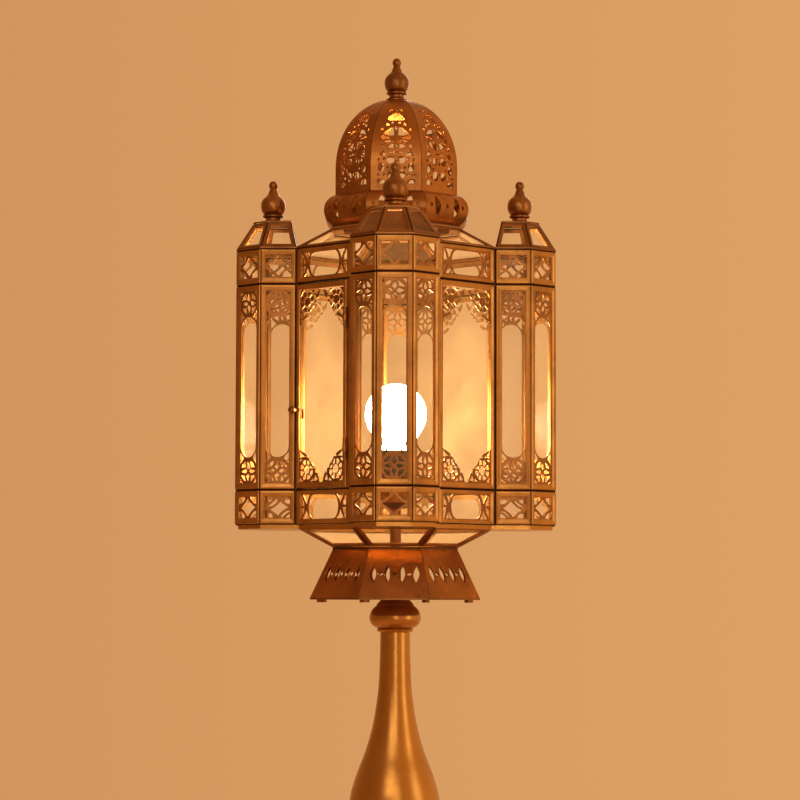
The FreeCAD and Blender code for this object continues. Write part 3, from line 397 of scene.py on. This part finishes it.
def turned(profile, steps=48):
    """Spin a list of (r, z) points about Z."""
    bm = bmesh.new()
    chain = [bm.verts.new((r, 0, z)) for r, z in profile]
    edges = [bm.edges.new(pair) for pair in zip(chain, chain[1:])]
    bmesh.ops.spin(bm, geom=chain + edges, axis=(0, 0, 1), cent=(0, 0, 0), angle=2 * math.pi, steps=steps,
                   use_merge=True)
    bmesh.ops.remove_doubles(bm, verts=bm.verts, dist=1e-4)
    bmesh.ops.recalc_face_normals(bm, faces=bm.faces)
    return bm


def smooth_line(points, steps):
    """Points along a smooth line that passes through all of these."""
    line = []
    for i in range(len(points) - 1):
        a, b = Vector(points[max(i - 1, 0)]), Vector(points[i])
        c, d = Vector(points[i + 1]), Vector(points[min(i + 2, len(points) - 1)])
        for j in range(steps):
            t = j / steps
            line.append(tuple(0.5 * (2 * b + (c - a) * t + (2 * a - 5 * b + 4 * c - d) * t * t
                                     + (3 * b - a - 3 * c + d) * t ** 3)))
    return line + [tuple(points[-1])]


def about_z(degrees, y=0.0):
    centre = Matrix.Translation((0, y, 0))
    return centre @ Matrix.Rotation(math.radians(degrees), 4, "Z") @ centre.inverted()


def stand(half, z, run=0.0, rise=1.0):
    """Place of a plate: its front foot at y = -half and z, its top leaning in by run over rise."""
    return Matrix.Translation((0, -half, z)) @ Matrix.Rotation(-math.atan2(run, rise), 4, "X")


def on_turret(k, place):
    return about_z(45 * k, -TURRET_CENTRE) @ Matrix.Translation((0, -TURRET_CENTRE, 0)) @ place


def gather(pairs):
    """One mesh from pairs of a shape and its places. The shapes are used up."""
    whole = bmesh.new()
    scratch = bpy.data.meshes.new("scratch")
    for shape, places in pairs:
        for place in places:
            copy = shape.copy()
            copy.transform(place)
            copy.to_mesh(scratch)
            copy.free()
            whole.from_mesh(scratch)
        shape.free()
    bpy.data.meshes.remove(scratch)
    return whole


def piece(name, bm, material, body="lamp", replaced=(), smooth=None):
    """Finish a shape: metres, normals, shading, material, and the body that it rides on."""
    bm.transform(Matrix.Scale(0.001, 4))
    bmesh.ops.recalc_face_normals(bm, faces=bm.faces)
    mesh = bpy.data.meshes.new(name)
    bm.to_mesh(mesh)
    bm.free()
    if smooth:
        mesh.shade_smooth()
        mesh.set_sharp_from_angle(angle=math.radians(smooth))
    mesh.materials.append(material)
    made = bpy.data.objects.new(name, mesh)
    bpy.context.scene.collection.objects.link(made)
    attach(made, body)
    if replaced:
        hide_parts(*replaced)
    return made


# ---- Turret walls ----
# Section of a frame: share of the way from its rim to its opening, and depth
MOULD = ((0.0, PLATE), (0.0, 0.75), (0.12, 0.15), (0.34, 0.0), (0.88, 0.5), (1.0, 0.8), (1.0, PLATE))


def moulding(outline_at):
    """Mitred frame that slopes in to its opening. outline_at gives its outline at 0, the rim, to 1, the opening."""
    bm = bmesh.new()
    loops = []
    for share, depth in MOULD:
        corners = [bm.verts.new((x, depth, z)) for x, z in outline_at(share)]
        loops.append([bm.edges.new(pair) for pair in zip(corners, corners[1:] + corners[:1])])
    for near, far in zip(loops, loops[1:] + loops[:1]):
        bmesh.ops.bridge_loops(bm, edges=near + far)
    bmesh.ops.recalc_face_normals(bm, faces=bm.faces)
    return bm


def rim_to(border, share):
    return EDGE + share * (border - EDGE)


def box_frame(width, height, borders):
    """Moulded frame of a rectangular plate, just inside the plate's own edges."""
    def outline_at(share):
        side, end = [rim_to(border, share) for border in borders]
        return box_outline(width - 2 * side, end, height - end)
    return moulding(outline_at)


def shade_sheet(outline, inner):
    """Painted shade: a near-black strip behind the seams round a plate, where the gaps would lie in shade."""
    return cut_plate(outline, [inner], SHADE_SHEET_FRONT, SHADE_SHEET_BACK, ease=0.05)


def box_shade_sheet(width, height, grow=SEAM / 2):
    """Painted-shade strip that reaches grow past the edges of a rectangular plate."""
    return shade_sheet(box_outline(width + 2 * grow, -grow, height + grow),
                  box_outline(width - 2 * SHADE_SHEET_REACH, SHADE_SHEET_REACH, height - SHADE_SHEET_REACH))


def fret(width, height, borders, holes):
    """Thin pierced sheet set back inside a frame, under whose edges it reaches."""
    stile, rail = borders
    under = 0.6
    return cut_plate(box_outline(width - 2 * stile + 2 * under, rail - under, height - rail + under), holes,
                     FRET_FRONT, SHEET_BACK, ease=0.2)


SIDES = ("front", "right", "back", "left")
FACES = (-2, -1, 0, 1, 2)      # of a turret, in eighths of a turn from its outermost one

shade_sheets = []
side_w = TURRET_SIDE - SEAM
low_h, high_h, tall_h = LOW_BAND - SEAM, HIGH_BAND - SEAM, GRILLE - SEAM
band_half, tall_half = side_w / 2 - BAND_FRAME[0], side_w / 2 - TALL_FRAME[0]
for index, side in enumerate(SIDES):
    turns = [about_z(90 * index) @ on_turret(k, Matrix()) for k in FACES]

    def walls(z):
        return [turn @ stand(TURRET, z + SEAM / 2) for turn in turns]

    bands, sheets = [], []
    for height, z in ((low_h, BODY_Z), (high_h, HIGH_BAND_Z)):
        holes = diamond_holes(band_half, height / 2 - BAND_FRAME[1], height / 2)
        bands.append((box_frame(side_w, height, BAND_FRAME), walls(z)))
        sheets.append((fret(side_w, height, BAND_FRAME, holes), walls(z)))
        shade_sheets.append((box_shade_sheet(side_w, height), walls(z)))
    holes = grille_holes(tall_half, tall_h, TALL_FRAME[1])
    sheets.append((fret(side_w, tall_h, TALL_FRAME, holes), walls(GRILLE_Z)))
    shade_sheets.append((box_shade_sheet(side_w, tall_h), walls(GRILLE_Z)))
    piece("bands_" + side, gather(bands), cast_brass, replaced=["turret_" + side + "_bands"])
    piece("grilles_" + side, gather([(box_frame(side_w, tall_h, TALL_FRAME), walls(GRILLE_Z))]), cast_brass,
          replaced=["turret_" + side + "_grilles"])
    piece("frets_" + side, gather(sheets), shaded_fret_brass)


# ---- Diagonal panels, door and strips ----
def panel(width, height, left):
    """Frame of a big pane, and the four scalloped spandrels for its corners. Left is its left stile."""
    middle = (left - PANEL_STILE) / 2
    reach = (width - left - PANEL_STILE) / 2 + LAP

    def outline_at(share):
        a, b, end = [rim_to(border, share) for border in (left, PANEL_STILE, PANEL_RAIL)]
        x0, x1 = a - width / 2, width / 2 - b
        return [(x0, end), (x1, end), (x1, height - end), (x0, height - end)]

    def set_in(points, s, up):
        return [(middle + s * reach - s * x, height - PANEL_RAIL + LAP - z if up else PANEL_RAIL - LAP + z)
                for x, z in points]

    outline, holes = spandrel(reach, SPANDREL_H)
    corners = []
    for s in (-1, 1):
        for up in (False, True):
            corners.append(cut_plate(set_in(outline, s, up), [set_in(hole, s, up) for hole in holes],
                                     SPANDREL_FRONT, SHEET_BACK, ease=0.15))
    return moulding(outline_at), corners


frames, corners = [], []
for index in range(3):
    place = about_z(45 + 90 * index) @ stand(PANEL_HALF, GRILLE_Z + SEAM / 2)
    border, spandrels = panel(PANEL_W - SEAM, tall_h, PANEL_STILE)
    frames.append((border, [place]))
    corners += [(shape, [place]) for shape in spandrels]
    shade_sheets.append((box_shade_sheet(PANEL_W - SEAM, tall_h), [place]))
piece("panel_frames", gather(frames), cast_brass,
      replaced=["panel_front_right", "panel_back_right", "panel_back_left"])
piece("spandrels", gather(corners), shaded_roof_brass)

rims, sheets = [], []
for z, height in ((BODY_Z, low_h), (HIGH_BAND_Z, high_h)):
    places = [about_z(45 + 90 * i) @ stand(PANEL_HALF, z + SEAM / 2) for i in range(4)]
    rims.append((box_frame(PANEL_W - SEAM, height, STRIP_FRAME), places))
    sheets.append((fret(PANEL_W - SEAM, height, STRIP_FRAME, strip_holes(height)), places))
    shade_sheets.append((box_shade_sheet(PANEL_W - SEAM, height), places))
piece("strip_frames", gather(rims), cast_brass, replaced=["band_strips"])
piece("strip_frets", gather(sheets), shaded_fret_brass)

# The door is the front left panel. It is made facing front and turned to its place.
DOOR_GAP, DOOR_LIFT, JAMB = 0.5, 0.3, 4.5
KNUCKLE_R, KNUCKLE_BORE, PIN_GAP = 1.7, 0.88, 0.05
front_left = about_z(-45)
hinge_x = PANEL_W / 2 - JAMB - DOOR_GAP / 2
hinge_y = -PANEL_HALF - DOOR_LIFT - KNUCKLE_R - PIN_GAP
door_left, door_right = -PANEL_W / 2 + DOOR_GAP, hinge_x - DOOR_GAP / 2
door_mid, door_w = (door_left + door_right) / 2, door_right - door_left
door_z, door_h = GRILLE_Z + DOOR_GAP, GRILLE - 2 * DOOR_GAP
hinge_in, knuckle_half, wing_half = 34.0, 3.0, 2.9


def knuckle(low, high):
    """Hinge barrel with its own bore, its edges eased."""
    ease = 0.25
    return turned([(KNUCKLE_BORE, low), (KNUCKLE_R - ease, low), (KNUCKLE_R, low + ease), (KNUCKLE_R, high - ease),
                   (KNUCKLE_R - ease, high), (KNUCKLE_BORE, high), (KNUCKLE_BORE, low)], steps=20)


def wing(low, high):
    """Tab that joins a knuckle to the door."""
    return cut_plate([(-2.6, low), (0.1, low), (0.1, high), (-2.6, high)], front=-0.35, back=0.35, ease=0.2)


leaf, spandrels = panel(door_w, door_h, DOOR_STILE)
place = front_left @ Matrix.Translation((door_mid, 0, 0)) @ stand(PANEL_HALF + DOOR_LIFT, door_z)
pairs = [(leaf, [place])]
for level in (door_z + hinge_in, door_z + door_h - hinge_in):
    pairs += [(knuckle(level - knuckle_half, level + knuckle_half),
               [front_left @ Matrix.Translation((hinge_x, hinge_y, 0))]),
              (wing(level - wing_half, level + wing_half),
               [front_left @ Matrix.Translation((hinge_x - 1.6, hinge_y + 1.35, 0))])]
piece("door_frame", gather(pairs), cast_brass, body="door", replaced=["door_panel"])
piece("door_shade_sheets", gather([(box_shade_sheet(door_w, door_h, grow=-0.05), [place])]), painted_shade_black, body="door")

# Painted shade: near-black strips behind the gaps above and below the door
opening, strip = front_left @ stand(PANEL_HALF, GRILLE_Z), 0.38
for low, high in ((0.0, strip), (GRILLE - strip, GRILLE)):
    shade_sheets.append((cut_plate(box_outline(PANEL_W - 2.0, low, high), front=0.4, back=1.6, ease=0.03), [opening]))
# All the near-black strips behind the seams of the walls, in one mesh: painted shade
piece("seam_shade_sheets", gather(shade_sheets), painted_shade_black)
piece("door_spandrels", gather([(shape, [place]) for shape in spandrels]), shaded_roof_brass, body="door")


# ---- Roofs and funnel: framed panes on sloping faces ----
def octagon_side(half):
    return 2 * half * FOLD


class Slope:
    """Leaning face between half_low at z and half_high at z + rise, as in the part's source.

    Its top is moved sideways by skew.
    """

    def __init__(self, half_low, width_low, half_high, width_high, z, rise, skew=0.0):
        run = half_low - half_high
        self.low, self.high, self.skew = width_low - SEAM, width_high - SEAM, skew
        self.height = math.hypot(run, rise)
        self.place = stand(half_low, z, run, rise)

    def outline(self, inset=0.0):
        def level(z):
            share = z / self.height
            half = (self.low + (self.high - self.low) * share) / 2
            side = inset / math.cos(math.atan2((self.low - self.high) / 2, self.height))
            return self.skew * share, half - side
        (x0, w0), (x1, w1) = level(inset), level(self.height - inset)
        return [(x0 - w0, inset), (x0 + w0, inset), (x1 + w1, self.height - inset), (x1 - w1, self.height - inset)]

    def frame(self, border):
        return moulding(lambda share: self.outline(rim_to(border, share)))

    # Painted shade: the near-black strip behind this face's seams
    def shade_sheet(self):
        return shade_sheet(self.outline(-SEAM / 2), self.outline(SHADE_SHEET_REACH))


def eighths(place):
    return [about_z(45 * i) @ place for i in range(8)]


funnel = Slope(THROAT, octagon_side(THROAT), FUNNEL, octagon_side(FUNNEL), FUNNEL_Z, FUNNEL_RISE)
piece("funnel_bars", gather([(funnel.frame(FUNNEL_BAR), eighths(funnel.place))]), shaded_fret_brass,
      replaced=["funnel_frames"])
roof_shade_sheets = [(funnel.shade_sheet(), eighths(funnel.place))]

cardinal = Slope(CORE, 2 * TURRET, CROWN, octagon_side(CROWN), ROOF_Z, ROOF_RISE)
diagonal = Slope(PANEL_HALF, PANEL_W, CROWN, octagon_side(CROWN), ROOF_Z, ROOF_RISE)
pairs = []
for slope, start in ((cardinal, 0), (diagonal, 45)):
    places = [about_z(start + 90 * i) @ slope.place for i in range(4)]
    pairs.append((slope.frame(ROOF_BAR), places))
    roof_shade_sheets.append((slope.shade_sheet(), places))
piece("roof_bars", gather(pairs), shaded_roof_brass, replaced=["main_roof_frames"])

# Roof of a turret: its cap is half a smaller octagon, moved out from the turret's own centre
top_half, top_shift = 22.5, 1.8
top_side = octagon_side(top_half)
top_centre = TURRET_CENTRE + top_shift
top_back = CORE + 5.7
cap_z = ROOF_Z + TURRET_RISE
finial_y = -(top_back + top_centre + top_half) / 2


def turret_slope(k):
    angle = math.radians(45 * k)
    width, skew = top_side, -top_shift * math.sin(angle)
    if abs(k) == 2:
        extra = top_centre - top_side / 2 - top_back
        width += extra
        skew += math.copysign(extra / 2, k)
    return Slope(TURRET, TURRET_SIDE, top_half + top_shift * math.cos(angle), width, ROOF_Z, TURRET_RISE, skew)


def roof_cap(turn):
    """Flat top of a turret's roof, with its place."""
    front, edge = top_centre + top_half, top_centre + top_side / 2
    plan = [(-top_half, top_back), (-top_half, edge), (-top_side / 2, front), (top_side / 2, front), (top_half, edge),
            (top_half, top_back)]
    return (cut_plate(plan, back=CAP, ease=0.4),
            [turn @ Matrix.Translation((0, 0, cap_z + CAP)) @ Matrix.Rotation(math.radians(-90), 4, "X")])


def roof_back(turn):
    """Plain plate that closes a turret's roof towards the main roof, with its place."""
    inset, run = 2.9, top_back - CORE
    low, high, height = TURRET - inset, top_half - inset, math.hypot(TURRET_RISE, run)
    return (cut_plate([(-low, 0), (low, 0), (high, height), (-high, height)], back=CAP, ease=0.2),
            [turn @ Matrix.Translation((0, -CORE - SEAM - CAP, ROOF_Z))
             @ Matrix.Rotation(math.atan2(run, TURRET_RISE), 4, "X")])


def finial(base):
    """Turned finial: flared base, stem, ring, round body, hollow neck and ball tip."""
    line = [(0, 0), (9.8, 0), (9.8, 0.7), (8.4, 1.5), (7.0, 2.4), (6.7, 3.6), (6.9, 4.6), (8.6, 5.2), (9.3, 5.9),
            (9.4, 6.9), (8.7, 7.7), (7.9, 8.1), (8.7, 8.5), (9.9, 10.3), (10.8, 12.6), (11.2, 15.4), (11.1, 17.6),
            (10.5, 19.9), (9.4, 21.9), (7.9, 23.4), (6.3, 24.6), (5.2, 25.9), (4.4, 27.5), (3.8, 29.3), (3.3, 30.6),
            (2.9, 31.4), (3.4, 32.2), (3.95, 33.6), (4.0, 35.0), (3.5, 36.7), (2.2, 38.2), (0, 38.8)]
    return turned([(r, base + z) for r, z in line])


for index, side in enumerate(SIDES):
    turn = about_z(90 * index)
    pairs = []
    for k in FACES:
        slope = turret_slope(k)
        pairs.append((slope.frame(TURRET_BAR), [turn @ on_turret(k, slope.place)]))
        roof_shade_sheets.append((slope.shade_sheet(), [turn @ on_turret(k, slope.place)]))
    pairs += [roof_cap(turn), roof_back(turn)]
    piece("turret_roof_" + side, gather(pairs), shaded_roof_brass, replaced=["turret_" + side + "_roof"])
places = [about_z(90 * i) @ Matrix.Translation((0, finial_y, 0)) for i in range(4)]
piece("finials", gather([(finial(cap_z + CAP), places)]), turned_brass, replaced=["turret_finials"],
      smooth=38)


# ---- Skirt, collar and dome ----
def rise_along(path):
    """Lengths along a path of (r, z) points."""
    lengths = [0.0]
    for (r0, z0), (r1, z1) in zip(path, path[1:]):
        lengths.append(lengths[-1] + math.hypot(r1 - r0, z1 - z0))
    return lengths


def bent(bm, path):
    """Bend a flat plate up a path of (r, z) points: its own z runs along the path, its y is its depth."""
    lengths = rise_along(path)
    for vert in bm.verts:
        x, depth, v = vert.co
        i = max(n for n in range(len(path) - 1) if n == 0 or lengths[n] <= v + 1e-9)
        (r0, z0), (r1, z1) = path[i], path[i + 1]
        step = lengths[i + 1] - lengths[i]
        t = (v - lengths[i]) / step
        dr, dz = (r1 - r0) / step, (z1 - z0) / step
        vert.co = (x, -(r0 + t * (r1 - r0)) + depth * dz, z0 + t * (z1 - z0) + depth * dr)
    return bm


def bent_gore(path, holes, parts, ease):
    """Pierced eighth of an octagonal shell, cut across into that many parts and bent up the path."""
    lengths = rise_along(path)
    right = [(r * FOLD - SEAM / 2, s) for (r, z), s in list(zip(path, lengths))[::2]]
    if right[-1][1] < lengths[-1]:
        right.append((path[-1][0] * FOLD - SEAM / 2, lengths[-1]))
    outline = right + [(-x, s) for x, s in reversed(right)]
    levels = [lengths[-1] * i / parts for i in range(1, parts)]
    return bent(cut_plate(outline, holes, back=DOME_SHEET, ease=ease, levels=levels), path)


skirt = Slope(SKIRT, octagon_side(SKIRT), THROAT, octagon_side(THROAT), SKIRT_Z, SKIRT_RISE)
pitch, middle = 12.6, skirt.height / 2
slots = [almond((i - 1.5) * pitch, middle, 2.9, 8.8) for i in range(4)]
slots += [oval((i - 1) * pitch, middle, 2.4, 1.7, 14) for i in range(3)]
face = cut_plate(skirt.outline(), slots, back=SKIRT_SHEET, ease=0.2)
piece("skirt_plates", gather([(face, eighths(skirt.place))]), dome_brass, replaced=["skirt"])
# Near-black strips behind the seams of the roofs and funnel: painted shade
piece("roof_shade_sheets", gather(roof_shade_sheets), painted_shade_black)

swell = [(57.0, 0.0), (60.4, 2.7), (63.0, 6.4), (64.6, 10.8), (64.9, 14.1), (64.3, 18.2), (62.4, 22.2),
         (59.2, 25.7), (54.9, 28.0)]
collar_path = [(r, COLLAR_Z + z) for r, z in smooth_line(swell, 3)]
collar_mid = rise_along(collar_path)[-1] / 2
slots = [almond(s * 11.8, collar_mid, 3.6, 10.6, -s * 0.10) for s in (-1, 1)]
slots += [oval(x, collar_mid, 1.6, 2.1, 12) for x in (-19.6, 0.0, 19.6)]
gore = bent_gore(collar_path, slots, parts=16, ease=0.25)
piece("collar_plates", gather([(gore, eighths(Matrix()))]), dome_brass, replaced=["collar"], smooth=22)

spring = DOME_Z + DOME_BAND
dome_turn = math.acos(DOME_EYE / DOME)
dome_path = [(DOME, DOME_Z + DOME_BAND * i / 6) for i in range(6)]
for i in range(41):
    angle = dome_turn * i / 40
    dome_path.append((DOME * math.cos(angle), spring + DOME_ARCH * math.sin(angle)))


def dome_holes():
    """Two rosettes, whose middles are at a and b up the gore, with dots between them and a small arch at the top."""
    a, b = 20.8, 48.2
    holes = [oval(0, 34.4, 3.4, 0.9, 12), almond(0, a + 4.6, 1.1, 2.2), almond(0, a - 4.6, 1.1, 2.2),
             almond(0, b + 9.6, 1.2, 2.4), almond(0, b - 8.2, 1.1, 1.9), oval(0, 80.4, 1.2, 1.3, 8)]
    half = [[(1.5, a + 5.6), (1.7, a + 9.4), (4.4, a + 10.4), (7.6, a + 9.0), (8.4, a + 5.6), (5.8, a + 3.0),
             (3.2, a + 3.6)],
            [(2.2, a - 3.4), (5.4, a - 2.2), (8.0, a - 4.6), (8.0, a - 8.2), (5.4, a - 10.8), (2.6, a - 10.4),
             (1.6, a - 7.4)],
            oval(13.3, a, 2.9, 4.4, 14), oval(8.0, a - 0.4, 1.5, 1.5, 10), oval(10.6, a + 7.4, 1.4, 1.4, 10),
            oval(10.4, a - 7.2, 1.5, 1.3, 10), oval(15.6, a + 6.6, 1.2, 1.7, 8), oval(15.8, a - 6.9, 1.2, 1.6, 8),
            [(9.2, a - 14.8), (17.4, a - 14.8), (16.8, a - 10.2), (12.8, a - 10.6), (10.2, a - 12.0)],
            [(8.8, a + 10.6), (15.4, a + 9.8), (13.8, a + 15.6), (12.0, a + 17.0)],
            oval(4.4, a + 13.0, 1.4, 0.9, 8),
            [(1.9, b + 2.2), (2.3, b + 10.6), (5.8, b + 10.0), (9.2, b + 7.2), (11.6, b + 3.6), (6.8, b + 1.9)],
            [(1.9, b - 3.2), (6.6, b - 2.2), (10.6, b - 3.6), (9.2, b - 7.2), (6.0, b - 9.8), (2.6, b - 10.4)],
            [(4.2, b - 0.2), (12.2, b - 2.2), (13.3, b + 0.3), (12.7, b + 2.5)],
            oval(7.5, 61.9, 1.7, 1.6, 10), oval(3.3, 63.9, 1.5, 1.2, 10), oval(12.5, b + 8.4, 1.1, 1.6, 8),
            oval(12.8, b - 8.2, 1.1, 1.7, 8),
            [(2.9, 78.6), (6.8, 78.3), (5.6, 81.8), (3.6, 82.4)]]
    holes += half + mirrored(half)
    arch = [(-7.4, 67.2), (-4.4, 66.4), (0, 66.6), (4.4, 66.4), (7.4, 67.2), (7.2, 70.2), (5.4, 73.6), (2.8, 75.9),
            (0, 76.6), (-2.8, 75.9), (-5.4, 73.6), (-7.2, 70.2)]
    return holes + [arch]


gore = bent_gore(dome_path, dome_holes(), parts=44, ease=0.22)
piece("dome_gores", gather([(gore, eighths(Matrix()))]), dome_brass, replaced=["dome"], smooth=20)
piece("top_finial", finial(spring + DOME_ARCH * math.sin(dome_turn)), turned_brass, replaced=["dome_finial"],
      smooth=38)


# ---- Stem: knob, vase and foot ----
knob_line = [(5.2, 0.0), (13.6, 0.0), (14.9, 0.4), (16.1, 1.2), (16.5, 2.1), (16.2, 3.0), (15.4, 3.6), (17.4, 4.4),
             (20.2, 6.1), (22.0, 8.4), (23.0, 11.0), (23.25, 13.2), (22.9, 15.8), (21.6, 19.0), (19.6, 21.6),
             (17.8, 23.2), (16.9, 23.9), (16.6, 24.6), (16.2, 25.6), (15.2, 26.7), (14.0, 27.8)]
knob_profile = [(r, KNOB_Z + z) for r, z in knob_line] + [(13.3, PLATE_Z - 0.1), (5.2, PLATE_Z - 0.1), (5.2, KNOB_Z)]
piece("knob", turned(knob_profile, steps=64), spun_brass, replaced=["stem_knob"], smooth=32)

outer = smooth_line([(25.0, 28.0), (29.8, 37.0), (35.6, 52.0), (40.2, 70.0), (42.3, 88.0), (42.3, 100.0), (41.0, 113.0),
                     (39.0, 125.0), (36.0, 135.4), (32.2, 146.1), (28.0, 156.7), (24.4, 167.4), (21.4, 178.1),
                     (19.0, 188.8), (16.9, 201.5), (15.1, 215.5), (14.2, 230.0), (13.7, 245.0), (13.4, 258.0),
                     (13.3, KNOB_Z)], 5)
wall = 1.6
inner = [(r - wall, z) for r, z in reversed(outer)]
piece("vase_shell", turned(outer + inner + outer[:1], steps=72), spun_brass, replaced=["vase"],
      smooth=40)

bell = smooth_line([(75.0, 14.0), (73.4, 15.4), (69.0, 16.6), (60.0, 17.6), (50.0, 19.0), (41.0, 21.4), (34.0, 24.6),
                    (30.0, 26.4), (29.0, 28.0)], 4)
foot_profile = ([(71.0, 2.0), (74.2, 2.0), (75.0, 2.8), (75.0, 5.6), (74.4, 6.2), (74.4, 9.8), (75.0, 10.4)] + bell
                + [(5.1, 28.0), (5.1, 24.0), (25.0, 24.0), (34.0, 20.6), (42.0, 17.6), (54.0, 14.6), (66.0, 13.4),
                   (71.0, 12.0), (71.0, 2.0)])
piece("foot_bell", turned(foot_profile, steps=96), spun_brass, replaced=["foot"], smooth=32)


# ---- Latch: stem, rosette, neck and ball, from inside to outside ----
latch = turned([(0, -4.9), (1.0, -4.9), (1.0, 0.1), (2.6, 0.1), (2.6, 0.8), (1.5, 1.4), (1.2, 2.4), (1.2, 3.6),
                (1.7, 4.6), (2.8, 5.7), (3.4, 7.4), (3.1, 9.1), (2.0, 10.5), (0, 11.0)], steps=32)
latch_x, latch_z = door_left + 3.0, door_z + 70.0
place = (front_left @ Matrix.Translation((latch_x, -PANEL_HALF - DOOR_LIFT, latch_z))
         @ Matrix.Rotation(math.radians(90), 4, "X"))
piece("latch_ball", gather([(latch, [place])]), turned_brass, body="latch", replaced=["door_knob"],
      smooth=35)


# ---- Finishes of the nodes that stay as they are ----
kept = {
    # The floor tray takes the brighter spun brass as painted light, for the skirt below it to reflect
    "corner_posts": shade_brass, "eaves_ring": shaded_roof_brass, "floor_tray": spun_brass, "crown_ring": shaded_roof_brass,
    "throat_ring": shade_brass, "skirt_plate": shaded_roof_brass, "hinge_jamb": shaded_fret_brass, "hinge_pins": painted_shade_black,
    "latch_tab": cast_brass, "skirt_screws": turned_brass, "lamp_tube": turned_brass, "tube_nuts": steel,
    "holder_cap": turned_brass, "holder_shell": bakelite, "bulb_cap": cap_metal, "bulb_glass": bulb_glow,
    "inlet_grommet": rubber, "foot_weight": iron, "felt_pad": felt,
}
for name, node in nodes.items():
    finish = pane if "glass" in name and name != "bulb_glass" else kept.get(name, cast_brass)
    node.data.materials.clear()
    node.data.materials.append(finish)


# ---- Floor, light and camera, in metres ----
# The floor is half a millimetre below the felt, and fades out between 0.7 and 1 m away, so that no horizon shows
floor_shape = bmesh.new()
bmesh.ops.create_grid(floor_shape, x_segments=1, y_segments=1, size=6.0)
floor_mesh = bpy.data.meshes.new("floor")
floor_shape.to_mesh(floor_mesh)
floor_shape.free()
floor = bpy.data.objects.new("floor", floor_mesh)
floor.location = (0, 0, -0.0005)
bpy.context.scene.collection.objects.link(floor)
ground = Finish("pale_floor")
across, along, _ = ground.split(ground.here())
away = ground.ramp(ground.node("Math", {"operation": "SQRT"}, {0: across * across + along * along}), 0.7, 1.0)
ground.surface(Base_Color=ground.mix(ground.noise(3.0), (0.74, 0.56, 0.38), (0.78, 0.60, 0.42)), Roughness=0.7,
               Alpha=1 - away)
floor_mesh.materials.append(ground.material)

# The room is warmer to the left and brighter to the right
world = bpy.data.worlds.new("studio")
sky = Tree(world)
across, along, _ = sky.split(sky.node("TexCoord", out="Generated"))
background = sky.nodes["Background"]
sky.put(background.inputs["Color"], sky.mix(0.5 + 0.5 * across, (0.92, 0.39, 0.12), (0.87, 0.47, 0.19)))
sky.put(background.inputs["Strength"], 0.72 + 0.05 * along + 0.34 * across)
bpy.context.scene.world = world


def soft_lamp(name, bearing, height, width, tall, watts):
    """Soft box that faces the lamp's middle, its bearing in degrees from the front towards the right."""
    away, middle = 1.9, Vector((0, 0, 0.42))
    light = bpy.data.lights.new(name, "AREA")
    light.shape, light.size, light.size_y = "RECTANGLE", width, tall
    light.energy, light.color = watts, (1.0, 0.93, 0.80)
    lamp = bpy.data.objects.new(name, light)
    angle = math.radians(bearing)
    place = Vector((away * math.sin(angle), -away * math.cos(angle), height))
    lamp.location = place
    lamp.rotation_euler = (middle - place).to_track_quat("-Z", "Y").to_euler()
    bpy.context.scene.collection.objects.link(lamp)


soft_lamp("key", -14, 1.15, 0.8, 0.8, 4)
soft_lamp("strip", 5, 0.55, 0.12, 1.5, 3.5)
soft_lamp("side", 64, 0.6, 0.6, 1.5, 4.4)
soft_lamp("back", 165, 1.2, 0.9, 0.9, 6)

bpy.context.scene.view_settings.view_transform = "Standard"

# The camera stands a little to the right of the front. Turn and tilt say where it looks, and roll how it leans.
eye = bpy.data.cameras.new("eye")
eye.sensor_width = 36.0
eye.lens = 130.45
camera = bpy.data.objects.new("eye", eye)
bpy.context.scene.collection.objects.link(camera)
bpy.context.scene.camera = camera
away, height = 2.609, 0.2955
around, turn, tilt, roll = [math.radians(degrees) for degrees in (0.55, 0.468, 3.957, 0.173)]
camera.location = (away * math.sin(around), -away * math.cos(around), height)
sight = Vector((-math.sin(turn) * math.cos(tilt), math.cos(turn) * math.cos(tilt), math.sin(tilt)))
camera.rotation_euler = (sight.to_track_quat("-Z", "Y").to_matrix() @ Matrix.Rotation(roll, 3, "Z")).to_euler()

bpy.context.view_layer.update()
